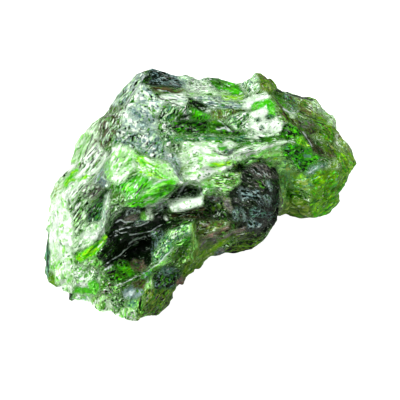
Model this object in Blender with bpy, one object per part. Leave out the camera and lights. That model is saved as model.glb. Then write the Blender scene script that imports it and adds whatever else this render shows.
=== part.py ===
"""Rough chrome diopside: one broken crystal fragment, 25 mm long, lying on its flattest face.

The fragment is described as a viewer sees it who looks down on it at VIEW_TILT:
x runs to the right, y up the picture and d towards the viewer, all in millimetres.
RIM is its outline in that view. FRONT and BACK hold the edges and hollows on either
side of the rim, and the cleavage chips are cut into the closed form in code.
The part's own frame has +Z up, the resting face on z = 0, and the origin at the
middle of the footprint.
"""

import math

import bmesh
import bpy
import numpy as np
from mathutils.geometry import delaunay_2d_cdt

# Driving dimensions
LENGTH_MM = 25.0
DRAWN_LENGTH_MM = 24.8
VIEW_TILT = math.radians(50.0)
FLOOR_D_MM = -7.0
SCALE = 0.001 * LENGTH_MM / DRAWN_LENGTH_MM

# Surface work
VOXEL_MM = 0.13
SOLID_TRIANGLES = 9950
RESTING_SINK_MM = 0.2
NODE_NAME = "diopside_crystal"

# The outline, clockwise from the top left peak: x, y, d
RIM = [
    (-4.75, 10.05, -1.0), (-3.9, 10.25, -1.5), (-2.9, 10.05, -1.8), (-1.3, 9.55, -1.8),
    (-0.6, 9.4, -1.5), (0.6, 9.65, -2.0), (1.6, 9.55, -2.4), (3.0, 9.3, -2.2),
    (3.85, 9.65, -1.6), (4.6, 9.6, -1.2), (5.75, 9.65, -1.6), (6.15, 9.2, -1.8),
    (6.3, 8.65, -1.8), (7.55, 8.25, -2.6), (9.2, 7.85, -3.0), (10.05, 7.1, -3.0),
    (11.0, 6.5, -3.0), (11.25, 5.3, -2.8), (11.5, 4.75, -2.9), (12.05, 4.15, -2.8),
    (12.15, 3.5, -2.6), (12.5, 2.75, -2.7), (12.6, 1.95, -2.7), (12.15, 1.4, -2.5),
    (11.7, 0.6, -2.5), (11.35, -0.45, -2.4), (10.4, -1.3, -2.3), (9.65, -1.85, -2.2),
    (9.0, -1.9, -2.1), (8.0, -1.75, -2.1), (7.1, -1.45, -2.3), (6.6, -1.5, -1.9),
    (6.2, -1.75, -1.0), (5.9, -2.3, -0.6), (5.45, -3.1, -0.4), (4.5, -3.75, -0.3),
    (4.0, -4.35, -0.3), (3.6, -4.5, -0.3), (2.0, -4.7, -0.3), (0.95, -5.1, -0.1),
    (0.1, -5.65, 0.1), (-0.5, -5.75, 0.3), (-1.3, -6.65, 0.7), (-2.1, -7.5, 1.1),
    (-2.65, -8.85, 1.7), (-3.0, -9.4, 1.9), (-3.7, -9.35, 2.1), (-4.2, -9.6, 2.2),
    (-5.5, -10.0, 2.3), (-6.35, -9.8, 2.2), (-6.75, -9.6, 2.0), (-7.6, -9.25, 1.8),
    (-8.4, -9.25, 1.6), (-8.7, -8.6, 1.4), (-9.35, -8.55, 1.1), (-10.65, -8.6, 0.8),
    (-10.75, -8.1, 0.6), (-10.5, -7.75, 0.6), (-11.0, -7.75, 0.3), (-11.3, -7.25, 0.1),
    (-11.9, -7.05, -0.2), (-12.1, -6.65, -0.4), (-12.5, -6.25, -0.8), (-12.55, -4.8, -1.0),
    (-12.5, -3.5, -1.1), (-12.3, -1.9, -1.2), (-11.95, -0.1, -1.3), (-11.65, 0.6, -1.3),
    (-11.15, 1.2, -1.2), (-10.3, 2.0, -1.0), (-10.15, 3.05, -1.2), (-9.75, 4.05, -1.4),
    (-9.2, 4.95, -1.5), (-8.65, 5.8, -1.6), (-8.15, 6.45, -1.6), (-7.7, 6.65, -1.4),
    (-7.4, 7.25, -1.4), (-6.55, 8.2, -1.4), (-5.75, 9.0, -1.3), (-5.2, 9.85, -1.2),
]

# Edges of the facets on the viewer's side. Neighbours in a list are joined by a crease.
FRONT = {
    "left_crest": [(-4.6, 9.05, -0.2), (-5.6, 7.6, 0.9), (-6.2, 6.0, 1.8), (-6.7, 4.5, 2.6)],
    "left_slope_upper": [(-5.4, 8.7, -0.5), (-6.4, 7.2, 0.1), (-7.4, 5.6, 0.7), (-8.2, 4.6, 0.6)],
    "left_slope_lower": [(-9.2, 3.6, 0.2), (-9.4, 2.6, 0.5), (-10.2, 1.4, 0.4)],
    "left_streak": [(-7.0, 3.4, 2.7), (-7.9, 2.2, 2.5), (-8.9, 1.0, 2.3), (-9.6, -0.4, 2.3)],
    "left_streak_foot": [(-8.0, 3.7, 1.5), (-8.9, 2.3, 1.3), (-9.8, 0.9, 1.3)],
    "steel_edge": [(-4.6, 9.05, -0.2), (-4.2, 8.75, 0.1), (-2.8, 8.65, 0.0), (-1.3, 8.75, -0.4)],
    "ledge_step": [(-3.8, 8.5, 0.1), (-2.4, 8.25, -0.1), (-1.0, 8.2, -0.4), (0.8, 8.3, -0.5)],
    "grey_edge": [(-4.2, 8.75, 0.1), (-3.0, 7.5, 0.9), (-1.8, 7.1, 0.9), (-1.2, 6.9, 0.8)],
    "grey_edge_foot": [(-3.5, 8.2, -0.1), (-2.5, 7.75, 0.1), (-1.3, 7.45, 0.1)],
    "blue_facet_top": [(-0.9, 7.9, -0.1), (0.6, 8.0, 0.0), (2.2, 7.7, 0.3), (3.5, 7.2, 0.8)],
    "blue_facet_foot": [(-0.6, 7.3, 0.5), (0.6, 6.95, 0.7), (2.2, 6.95, 0.8), (3.7, 6.7, 1.1)],
    "gash": [(-0.9, 7.05, -0.1), (0.1, 6.8, -0.1), (0.7, 6.75, 0.2)],
    "green_roof_foot": [(0.95, 8.8, -1.0), (2.1, 8.25, -0.6), (3.3, 7.95, -0.2)],
    "green_roof_end": [(3.3, 7.95, -0.2), (3.1, 8.6, -1.3)],
    "peak_ridge": [(4.65, 9.2, -0.7), (4.8, 8.3, 0.2), (5.4, 8.0, 0.5)],
    "peak_foot": [(3.6, 7.9, 0.1), (4.3, 7.7, 0.6)],
    "diagonal_ridge": [
        (5.4, 8.0, 0.5), (6.2, 6.9, 1.4), (6.9, 5.9, 2.0), (7.7, 5.3, 2.1),
        (8.3, 4.5, 2.0), (9.2, 3.7, 1.4), (10.0, 3.05, 0.9), (11.0, 2.7, -0.2),
    ],
    "diagonal_trough": [
        (6.0, 7.9, -0.6), (6.7, 7.0, 0.2), (7.6, 6.1, 0.5), (8.5, 5.3, 0.3),
        (9.4, 4.4, 0.1), (10.3, 3.6, -0.5),
    ],
    "far_plate": [(7.7, 7.6, -1.2), (7.9, 6.7, -0.5), (9.0, 6.1, -0.6), (10.6, 5.4, -1.3)],
    "far_plate_step": [(9.9, 4.9, -0.7), (10.7, 4.2, -1.0), (11.2, 3.4, -1.2)],
    "valley": [(-2.3, 6.1, 1.1), (-1.5, 5.7, 0.6), (0.0, 5.6, 0.3), (1.6, 5.4, 0.7), (3.3, 4.95, 1.4)],
    "valley_roof": [(-1.9, 6.7, 0.9), (-0.7, 6.5, 0.4), (1.0, 6.4, 0.6), (2.4, 6.0, 1.1), (3.6, 5.6, 1.7)],
    "valley_lip": [(-2.1, 4.8, 2.1), (0.0, 4.55, 2.4), (1.8, 4.5, 2.5), (3.6, 4.5, 2.4)],
    "snow_patch": [(4.1, 6.2, 1.9), (4.9, 6.9, 1.4), (5.5, 6.6, 1.6), (6.2, 5.4, 2.5), (5.0, 4.9, 2.6)],
    "upper_crease": [(1.9, 3.75, 2.9), (3.2, 4.05, 2.5), (4.7, 4.45, 2.2), (6.4, 4.75, 2.1)],
    "white_band": [
        (-1.0, 3.6, 4.0), (0.6, 3.2, 4.4), (2.5, 3.2, 4.1), (4.2, 3.7, 3.4),
        (5.6, 4.15, 2.9), (6.9, 4.25, 2.6),
    ],
    "white_band_foot": [(0.2, 2.2, 4.6), (1.6, 2.2, 4.3), (2.7, 2.5, 3.6), (3.8, 3.15, 2.9)],
    "white_apron": [(-1.0, 2.2, 4.3), (-0.3, 1.2, 4.6), (0.9, 1.5, 4.3), (2.2, 1.7, 3.8)],
    "knob_seam": [
        (2.6, 1.9, 3.1), (3.2, 2.45, 2.5), (4.1, 2.8, 2.1), (5.0, 2.65, 1.9), (5.8, 2.1, 1.5),
        (6.4, 1.6, 1.1), (6.95, 0.7, 0.0), (7.05, -0.4, -0.4), (6.75, -1.2, -0.8),
    ],
    "knob_shoulder": [
        (3.3, 1.4, 3.6), (4.2, 2.0, 3.1), (5.2, 1.6, 3.0), (6.1, 0.8, 2.5), (6.6, 0.2, 1.6),
        (6.6, -0.8, 1.2),
    ],
    "knob_crown": [(2.7, 0.5, 4.0), (3.8, 0.3, 4.2), (5.0, 0.2, 3.8), (5.8, -0.6, 2.9)],
    "knob_belly": [(2.6, -1.2, 3.6), (3.7, -1.4, 3.7), (4.9, -1.7, 3.0), (5.7, -2.0, 1.7)],
    "knob_foot": [(1.2, -2.5, 2.9), (2.8, -2.7, 2.8), (4.3, -2.8, 2.3), (5.3, -2.8, 1.2)],
    "skirt": [(-0.1, -3.3, 2.8), (1.4, -3.4, 2.5), (3.0, -3.3, 2.1), (4.4, -3.4, 1.4)],
    "skirt_foot": [(-0.2, -5.0, 1.9), (1.2, -4.3, 1.9), (2.8, -4.1, 1.5)],
    "dark_gap_right": [(0.75, -0.6, 2.1), (1.4, -1.0, 2.0), (1.6, -1.7, 2.2), (0.6, -1.5, 2.0)],
    "cheek": [(0.5, 0.7, 4.2), (1.6, 0.8, 4.2), (2.0, -0.1, 3.9), (2.1, -0.9, 3.4)],
    "bar_top": [(-2.3, -0.25, 3.6), (-1.0, -0.2, 3.7), (0.25, -0.1, 3.7)],
    "bar_foot": [(-2.0, -1.1, 4.1), (-0.8, -0.95, 4.2), (0.2, -0.75, 4.1)],
    "gap_above_bar": [(-1.9, 0.2, 2.4), (-1.0, 0.5, 2.0), (0.0, 0.35, 2.4)],
    "gap_below_bar": [(-2.5, -1.5, 2.6), (-1.2, -1.45, 2.2), (0.2, -1.3, 2.1)],
    "wedge_top": [(-6.3, 4.05, 3.1), (-4.6, 3.35, 4.0), (-2.6, 2.45, 5.0), (-1.6, 1.05, 5.4)],
    "wedge_top_foot": [(-5.9, 4.35, 2.5), (-4.3, 3.65, 3.0), (-2.4, 2.9, 3.8), (-1.4, 1.7, 4.2)],
    "wedge_lip": [(-1.6, 1.05, 5.4), (-3.2, 0.75, 5.5), (-4.6, 0.0, 5.2), (-6.0, -0.4, 4.5)],
    "wedge_edge": [(-1.7, 0.75, 4.6), (-2.7, -0.2, 4.7), (-4.5, -0.95, 4.3), (-5.9, -1.05, 3.7)],
    "wedge_shadow": [(-1.9, 0.45, 3.0), (-2.9, -0.5, 3.1), (-4.4, -1.25, 3.0), (-5.8, -1.4, 2.9)],
    "wedge_heel": [(-7.0, 2.4, 3.4), (-7.2, 0.9, 3.9), (-7.0, -0.4, 4.0)],
    "rib": [(-7.2, 0.9, 3.9), (-7.35, -1.0, 4.0), (-7.6, -2.2, 3.7), (-8.1, -3.0, 3.3)],
    "rib_hollow": [(-7.9, 0.3, 2.8), (-8.3, -0.9, 2.6), (-8.8, -1.9, 2.4), (-9.2, -2.8, 2.6)],
    "outer_rib": [(-9.6, -0.4, 2.3), (-9.9, -1.8, 2.4), (-9.8, -3.4, 2.5)],
    "bright_strip_top": [(-9.8, -4.9, 2.5), (-8.7, -4.1, 3.0), (-7.4, -3.1, 3.5)],
    "bright_strip_foot": [(-9.2, -5.2, 2.6), (-8.0, -4.7, 2.9), (-7.1, -3.5, 3.1)],
    "shell_a": [(-6.8, -2.0, 3.2), (-5.4, -2.15, 3.4), (-4.2, -2.0, 3.5), (-3.1, -1.75, 3.5)],
    "shell_b": [(-6.9, -2.7, 2.9), (-6.2, -2.6, 2.9), (-4.6, -2.6, 3.0), (-3.1, -2.15, 3.2)],
    "shell_c": [(-7.0, -3.3, 2.5), (-6.0, -3.05, 2.4), (-4.3, -3.05, 2.5), (-3.2, -2.6, 2.9)],
    "hollow_lip": [(-7.5, -5.3, 2.3), (-6.6, -4.4, 2.1), (-5.6, -3.7, 1.8), (-4.5, -3.4, 1.8)],
    "hollow_floor": [(-6.2, -4.9, 0.9), (-5.4, -4.5, 0.3), (-4.5, -4.1, 0.0), (-3.9, -4.4, 0.3)],
    "hollow_heel": [(-5.7, -5.6, 1.2), (-4.8, -5.4, 0.7), (-4.1, -5.2, 1.0)],
    "hollow_bottom": [(-7.5, -6.2, 2.6), (-6.4, -6.3, 2.4), (-5.4, -6.2, 2.4), (-4.6, -5.9, 2.0)],
    "plate_edge": [(-0.6, -2.1, 4.4), (-2.2, -2.8, 4.2), (-3.2, -3.4, 3.8), (-3.6, -4.6, 3.5), (-3.8, -5.3, 3.4)],
    "plate_ridge": [
        (-0.7, -3.3, 4.4), (-2.0, -4.5, 4.4), (-3.0, -5.45, 4.2), (-4.0, -6.0, 4.0),
        (-5.0, -6.5, 3.7), (-6.3, -7.1, 3.4),
    ],
    "plate_side": [(-0.6, -2.1, 4.4), (-0.7, -3.3, 4.4), (-0.8, -4.9, 3.4)],
    "plate_side_foot": [(-0.25, -2.3, 3.2), (-0.3, -3.3, 3.0), (-0.45, -4.9, 2.3)],
    "under_ridge": [(-1.6, -5.3, 3.2), (-2.7, -6.2, 3.0), (-4.0, -6.8, 3.1), (-5.2, -7.3, 3.1)],
    "toe_left": [(-8.7, -7.2, 2.3), (-7.4, -7.7, 2.8), (-6.4, -8.3, 3.0), (-5.6, -9.0, 3.1)],
    "toe_right": [(-3.3, -7.4, 2.9), (-4.2, -8.2, 3.2), (-4.7, -9.1, 3.1)],
    "toe_side": [(-2.2, -6.9, 2.1), (-2.9, -8.0, 2.3), (-3.3, -8.9, 2.4)],
    "snow_face_crest": [(-10.3, 0.3, 1.5), (-10.4, -1.8, 2.0), (-10.4, -3.8, 2.1), (-10.1, -5.6, 1.9)],
    "snow_face_side": [(-11.5, -0.6, 0.2), (-11.6, -3.2, 0.5), (-11.7, -5.4, 0.2)],
    "snow_face_foot": [(-9.9, -6.6, 1.6), (-11.2, -6.4, 0.7)],
    "lobe_upper": [(7.0, 2.9, 1.9), (8.2, 2.4, 1.3), (9.5, 2.3, 1.2), (10.8, 1.9, 0.2)],
    "lobe_middle": [(7.7, 1.1, 0.8), (8.8, 1.0, 1.2), (10.0, 0.8, 0.8)],
    "lobe_lower": [(7.8, -0.5, 0.1), (8.9, -0.5, 0.5), (10.1, -0.3, 0.1)],
    "saddle": [(5.6, 3.2, 2.3), (6.6, 3.6, 2.3), (7.7, 3.8, 2.0)],
}

# Corners on the viewer's side that no crease joins
FRONT_SPOTS = [
    (-4.1, 7.3, 1.0), (-4.9, 5.9, 1.9), (-3.3, 6.2, 1.4), (-3.0, 4.9, 2.3), (-4.8, 4.7, 2.5),
    (0.2, 8.8, -1.0), (6.9, 7.8, -0.9), (9.3, 7.0, -1.6), (5.3, 9.0, -0.8), (8.6, -1.3, -0.3),
    (-1.6, -4.2, 3.5), (-8.2, -5.8, 2.3), (-8.9, -8.0, 1.8), (-7.8, -8.5, 2.1), (-3.6, -1.4, 3.2),
    (10.9, 0.9, -0.6), (9.6, 5.4, -0.7), (-6.5, 5.2, 2.0), (-6.4, 1.2, 4.4), (-4.4, 1.9, 4.9),
]

# The walls start this far behind the rim, on the rim shrunk towards a middle point
BROW_CENTRE, BROW_KEEP, BROW_SET_BACK = (1.0, 1.5), 0.97, 0.7

# Walls and underside in plan: x, how far back on the floor, and the height.
# The second is 0 where the line of sight through the picture's middle meets the floor.
BACK = {
    "foot_edge": [
        (-9.9, -9.6, 0.6), (-7.9, -10.7, 0.5), (-5.6, -12.1, 0.4), (-3.3, -11.1, 0.6),
        (-1.5, -8.5, 0.7), (0.8, -6.4, 0.8), (3.4, -5.6, 0.9), (5.2, -2.9, 1.0),
        (6.5, -1.8, 1.1), (8.2, -1.6, 1.0), (9.8, -1.3, 0.9), (10.2, 1.0, 1.2),
        (8.8, 3.2, 1.1), (5.2, 4.6, 0.8), (0.2, 5.0, 1.0), (-4.9, 4.0, 0.9),
        (-8.2, 0.3, 1.1), (-10.6, -4.6, 0.8), (-9.9, -9.6, 0.6),
    ],
    "resting_edge": [
        (-8.3, -8.8, 0.0), (-5.6, -10.6, 0.0), (-3.6, -9.4, 0.0), (-1.0, -6.3, 0.0),
        (3.2, -3.4, 0.0), (5.2, -1.0, 0.0), (7.9, 0.7, 0.0), (7.5, 2.1, 0.0),
        (4.4, 3.2, 0.0), (0.0, 3.6, 0.0), (-4.2, 2.5, 0.0), (-7.0, -0.8, 0.0),
        (-8.9, -4.9, 0.0), (-8.3, -8.8, 0.0),
    ],
    "west_edge": [(-9.1, 0.5, 4.4), (-9.0, 0.9, 2.4), (-8.2, 0.3, 1.1)],
    "south_west_edge": [(-11.3, -4.4, 2.2), (-10.6, -4.6, 0.8), (-8.9, -4.9, 0.0)],
    "north_west_edge": [(-5.5, 3.4, 7.8), (-5.7, 4.5, 5.6), (-5.2, 4.7, 2.4), (-4.9, 4.0, 0.9)],
    "north_edge": [(0.2, 4.8, 7.9), (0.8, 6.1, 5.2), (0.4, 5.7, 2.2), (0.2, 5.0, 1.0)],
    "north_east_edge": [(5.2, 4.8, 7.6), (6.0, 5.7, 5.0), (5.4, 5.2, 2.2), (5.2, 4.6, 0.8)],
    "east_edge": [(9.5, 3.0, 5.6), (10.3, 2.9, 3.2), (8.8, 3.2, 1.1)],
    "south_east_edge": [(10.7, -1.5, 2.6), (9.8, -1.3, 0.9), (7.9, 0.7, 0.0)],
    "north_ledge": [(-5.2, 4.7, 2.4), (-2.6, 6.0, 2.9), (0.4, 5.7, 2.2)],
    "north_ledge_top": [(-4.7, 4.0, 4.9), (-2.4, 4.6, 5.0), (-0.2, 4.9, 4.4)],
    "high_step": [(-4.6, 4.2, 5.8), (-2.6, 5.2, 5.8), (-0.2, 5.3, 5.6)],
    "high_step_top": [(-4.3, 3.7, 7.2), (-2.2, 4.3, 7.6), (-0.4, 4.4, 7.3)],
    "north_east_step": [(1.4, 6.0, 3.2), (3.2, 5.9, 3.1), (4.9, 5.7, 3.2)],
    "north_east_step_top": [(1.6, 5.2, 5.0), (3.2, 4.9, 5.0), (5.0, 5.0, 4.9)],
    "east_ledge": [(6.6, 5.6, 4.2), (8.4, 4.6, 4.4), (9.9, 3.0, 4.2)],
}

BACK_SPOTS = [(-5.4, -6.4, 0.0), (2.4, -1.4, 0.0), (3.0, 5.4, 6.8)]

# The grain bends over the stone in an arch round this point of the picture
ARCH_CENTRE = (1.0, -10.5)
ARCH_RADIUS = 14.0

# Cleavage chips: cell size and depth in millimetres, how many times longer along the
# grain than wide they are, how sharp the steps between them are, and a seed
CHIP_COATS = [
    (2.6, 0.34, 2.4, 30.0, 11),
    (1.25, 0.24, 3.2, 26.0, 23),
    (0.70, 0.13, 4.5, 20.0, 37),
]

DIOPSIDE_GREEN = (0.055, 0.21, 0.035, 1.0)


def in_part_frame(drawn):
    """Points from picture x, y, d in millimetres to the part's X, Y, Z in metres."""
    x, y, d = np.asarray(drawn, float).T
    sine, cosine = math.sin(VIEW_TILT), math.cos(VIEW_TILT)
    height = y * cosine + (d - FLOOR_D_MM) * sine
    return np.stack([x, y * sine - d * cosine, height], axis=1) * SCALE


def from_plan(points):
    """Points of BACK, given in plan, as picture x, y, d."""
    sine, cosine = math.sin(VIEW_TILT), math.cos(VIEW_TILT)
    drawn = []
    for x, back, height in points:
        height -= RESTING_SINK_MM
        drawn.append((x, back * sine + height * cosine, FLOOR_D_MM + height * sine - back * cosine))
    return drawn


def brow():
    """The rim drawn in a little and set back, where the walls begin."""
    (cx, cy), keep = BROW_CENTRE, BROW_KEEP
    ring = [(cx + keep * (x - cx), cy + keep * (y - cy), d - BROW_SET_BACK) for x, y, d in RIM]
    return ring + ring[:1]


def patch(creases, spots):
    """One side of the stone inside RIM: (points, triangles), flat between the creases."""
    points = list(RIM) + list(spots)
    edges = []
    for line in creases:
        start = len(points)
        points += line
        edges += [(k, k + 1) for k in range(start, len(points) - 1)]
    flat = [(x, y) for x, y, _ in points]
    outline = list(range(len(RIM)))
    _, _, faces, origins, _, _ = delaunay_2d_cdt(flat, edges, [outline], 1, 1e-4)
    first = [origin[0] for origin in origins]
    return points, [[first[corner] for corner in face] for face in faces]


def closed_form():
    """A bmesh of both sides joined along the rim, in the part's frame."""
    front_points, front_faces = patch(FRONT.values(), FRONT_SPOTS)
    back_lines = [brow()] + [from_plan(line) for line in BACK.values()]
    rear_points, rear_faces = patch(back_lines, from_plan(BACK_SPOTS))
    count, rim = len(front_points), len(RIM)
    drawn = front_points + rear_points[rim:]
    rear = [[c if c < rim else c - rim + count for c in face] for face in rear_faces]
    form = bmesh.new()
    corners = [form.verts.new(point) for point in in_part_frame(drawn)]
    for face in front_faces + rear:
        form.faces.new([corners[c] for c in face])
    loose = [corner for corner in form.verts if not corner.link_faces]
    bmesh.ops.delete(form, geom=loose, context="VERTS")
    bmesh.ops.recalc_face_normals(form, faces=form.faces)
    return form


def mixed(cells, seed):
    """Four numbers from 0 to 1 for each whole-numbered cell, always the same for one seed."""
    cells = cells.astype(np.int64).astype(np.uint32)
    key = cells[:, 0] * np.uint32(73856093) ^ cells[:, 1] * np.uint32(19349663)
    key ^= cells[:, 2] * np.uint32(83492791) ^ np.uint32(seed * 2654435 + 17)
    numbers = []
    for _ in range(4):
        key = (key ^ (key >> np.uint32(15))) * np.uint32(2246822519)
        key = (key ^ (key >> np.uint32(13))) * np.uint32(3266489917)
        numbers.append((key & np.uint32(0xFFFFFF)) / float(0xFFFFFF))
    return np.stack(numbers, axis=1)


def along_the_grain(drawn):
    """Picture x, y, d straightened out: the way round the arch, out from its middle, and d."""
    x, y, d = drawn.T
    x, y = x - ARCH_CENTRE[0], y - ARCH_CENTRE[1]
    return np.stack([np.arctan2(x, y) * ARCH_RADIUS, np.hypot(x, y), d], axis=1)


def chips(grained, size, depth, stretch, sharpness, seed):
    """How far each point is cut in: every cell is one flat chip, tilted at random.

    Cells are the nearest of jittered seeds on a lattice stretched along the grain.
    Inside a cell the cut is depth times (a random level + the slope along a random way),
    and near a border the neighbours' cuts are blended by exp(-sharpness * distance).
    """
    squeezed = grained / (size * np.array([stretch, 1.0, 1.0]))
    base = np.floor(squeezed)
    total = np.zeros(len(grained))
    weight = np.full(len(grained), 1e-30)
    steps = np.array(np.meshgrid([-1, 0, 1], [-1, 0, 1], [-1, 0, 1])).reshape(3, -1).T
    for step in steps:
        random = mixed(base + step, seed)
        offset = squeezed - (base + step + random[:, :3])
        tilt = mixed(base + step, seed + 7)[:, :3] * 2 - 1
        level = random[:, 3] + (offset * tilt).sum(axis=1)
        share = np.exp(-sharpness * np.sqrt((offset**2).sum(axis=1)))
        total += share * level
        weight += share
    return depth * total / weight


def points_and_normals(mesh):
    """Both as (count, 3) arrays, in metres."""
    points = np.empty(len(mesh.vertices) * 3)
    normals = np.empty(len(mesh.vertices) * 3)
    mesh.vertices.foreach_get("co", points)
    mesh.vertices.foreach_get("normal", normals)
    return points.reshape(-1, 3), normals.reshape(-1, 3)


def in_picture_frame(points):
    """Points of the part, in metres, back to picture x, y, d in millimetres."""
    x, y, z = points.T / SCALE
    sine, cosine = math.sin(VIEW_TILT), math.cos(VIEW_TILT)
    z = z + FLOOR_D_MM * sine
    return np.stack([x, y * sine + z * cosine, z * sine - y * cosine], axis=1)


def evaluated_mesh(obj):
    """The object's mesh with its modifiers applied."""
    graph = bpy.context.evaluated_depsgraph_get()
    return bpy.data.meshes.new_from_object(obj.evaluated_get(graph))


def chipped(mesh):
    """Cuts every coat of chips into an evenly divided mesh, along its normals."""
    points, normals = points_and_normals(mesh)
    grained = along_the_grain(in_picture_frame(points))
    cut = sum(chips(grained, *coat) for coat in CHIP_COATS)
    mean = sum(depth for _, depth, *_ in CHIP_COATS) / 2
    moved = points - normals * ((cut - mean) * SCALE)[:, None]
    mesh.vertices.foreach_set("co", moved.ravel())
    mesh.update()


def rest_on_floor(mesh):
    """Cuts the underside flat at z = 0 and centres the footprint on the origin."""
    form = bmesh.new()
    form.from_mesh(mesh)
    parts = form.verts[:] + form.edges[:] + form.faces[:]
    bmesh.ops.bisect_plane(form, geom=parts, plane_co=(0, 0, 0), plane_no=(0, 0, -1), clear_outer=True)
    rim = [edge for edge in form.edges if edge.is_boundary]
    bmesh.ops.triangle_fill(form, edges=rim, use_beauty=True)
    bmesh.ops.triangulate(form, faces=form.faces[:])
    bmesh.ops.recalc_face_normals(form, faces=form.faces)
    places = np.array([corner.co for corner in form.verts])
    middle = (places.min(axis=0) + places.max(axis=0)) / 2
    bmesh.ops.translate(form, verts=form.verts, vec=(-middle[0], -middle[1], 0.0))
    form.to_mesh(mesh)
    form.free()


def stone_material():
    """Glassy deep green."""
    material = bpy.data.materials.new("chrome_green")
    material.use_nodes = True
    shader = material.node_tree.nodes["Principled BSDF"]
    shader.inputs["Base Color"].default_value = DIOPSIDE_GREEN
    shader.inputs["Roughness"].default_value = 0.25
    shader.inputs["Metallic"].default_value = 0.0
    return material


def stone():
    """The whole fragment, one closed faceted solid."""
    form = closed_form()
    mesh = bpy.data.meshes.new(NODE_NAME)
    form.to_mesh(mesh)
    form.free()
    crystal = bpy.data.objects.new(NODE_NAME, mesh)
    bpy.context.scene.collection.objects.link(crystal)

    even = crystal.modifiers.new("even", "REMESH")
    even.mode = "VOXEL"
    even.voxel_size = VOXEL_MM * 0.001
    crystal.data = evaluated_mesh(crystal)
    crystal.modifiers.clear()
    chipped(crystal.data)

    fewer = crystal.modifiers.new("fewer", "DECIMATE")
    crystal.data.calc_loop_triangles()
    fewer.ratio = SOLID_TRIANGLES / len(crystal.data.loop_triangles)
    crystal.data = evaluated_mesh(crystal)
    crystal.modifiers.clear()
    rest_on_floor(crystal.data)
    crystal.data.materials.append(stone_material())
    return crystal


def main():
    for obj in list(bpy.data.objects):
        bpy.data.objects.remove(obj)
    stone()


main()
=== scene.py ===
"""The looks of the rough chrome diopside.

The stone's fine surface starts from the CAD solid, divided evenly and chipped further.
Its colours are finishes, such as frosted white or bottle green, that lie in named places of the
picture frame: x right, y up and d towards the viewer, in millimetres, as the photograph
shows the stone. Each place gives how much of the surface its finish covers, and the
material breaks that cover up into flecks along the grain. Several of the colours are
painted light: the whites and greys stand partly for painted reflections of the lights,
the near-black partly for painted shade, and the brightest green for light shining
through thin parts. The glints and the pale thin lines are painted highlights, the crests
are lightened partly as painted highlight, and the creases and part of the dark lines are
painted shade.
"""

import math

import bmesh
import bpy
import numpy as np
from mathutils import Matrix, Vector


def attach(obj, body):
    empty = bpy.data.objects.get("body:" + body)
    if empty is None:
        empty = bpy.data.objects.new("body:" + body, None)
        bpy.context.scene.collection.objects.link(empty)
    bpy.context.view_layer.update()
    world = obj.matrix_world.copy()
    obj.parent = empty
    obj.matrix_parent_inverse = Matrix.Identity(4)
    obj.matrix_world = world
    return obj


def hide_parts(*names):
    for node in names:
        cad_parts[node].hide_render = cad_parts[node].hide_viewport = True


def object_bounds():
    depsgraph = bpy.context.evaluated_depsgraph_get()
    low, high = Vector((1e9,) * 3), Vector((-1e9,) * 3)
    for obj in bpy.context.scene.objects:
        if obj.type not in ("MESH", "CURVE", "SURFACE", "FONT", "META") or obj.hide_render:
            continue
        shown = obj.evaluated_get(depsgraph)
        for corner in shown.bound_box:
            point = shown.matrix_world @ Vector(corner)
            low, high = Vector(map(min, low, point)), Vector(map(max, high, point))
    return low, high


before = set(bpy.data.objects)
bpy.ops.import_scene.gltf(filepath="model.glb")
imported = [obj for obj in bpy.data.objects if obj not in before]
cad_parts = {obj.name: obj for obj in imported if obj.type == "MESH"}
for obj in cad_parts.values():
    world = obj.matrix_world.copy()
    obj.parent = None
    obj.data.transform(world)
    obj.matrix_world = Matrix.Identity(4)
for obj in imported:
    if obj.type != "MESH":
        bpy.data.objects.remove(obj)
CAD_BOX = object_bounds()

# The picture frame, as the CAD was drawn in it
VIEW_TILT = math.radians(50.0)
SCALE = 0.001 * 25.0 / 24.8
FLOOR_D_MM = -7.0
CENTRING = (0.07135e-3, 0.80770e-3)
ARCH_CENTRE = (1.0, -10.5)
ARCH_RADIUS = 14.0

# The photograph: 400 pixels across 32 mm, its middle 0.4 mm below the drawing's origin
PHOTO_WIDTH_MM = 32.0
PHOTO_MIDDLE_MM = (0.0, -0.4)
LENS_MM = 250.0
SENSOR_MM = 36.0
ROOM_LIGHT = 0.10

# Fine surface: cell size and cut depth in mm, stretch along the grain, and seed
REST_BAND_MM = 0.07
FINE_COATS = [
    (1.10, 0.06, 1.8, 47),
    (0.55, 0.035, 2.4, 53),
    (0.30, 0.022, 1.6, 61),
]
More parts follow.
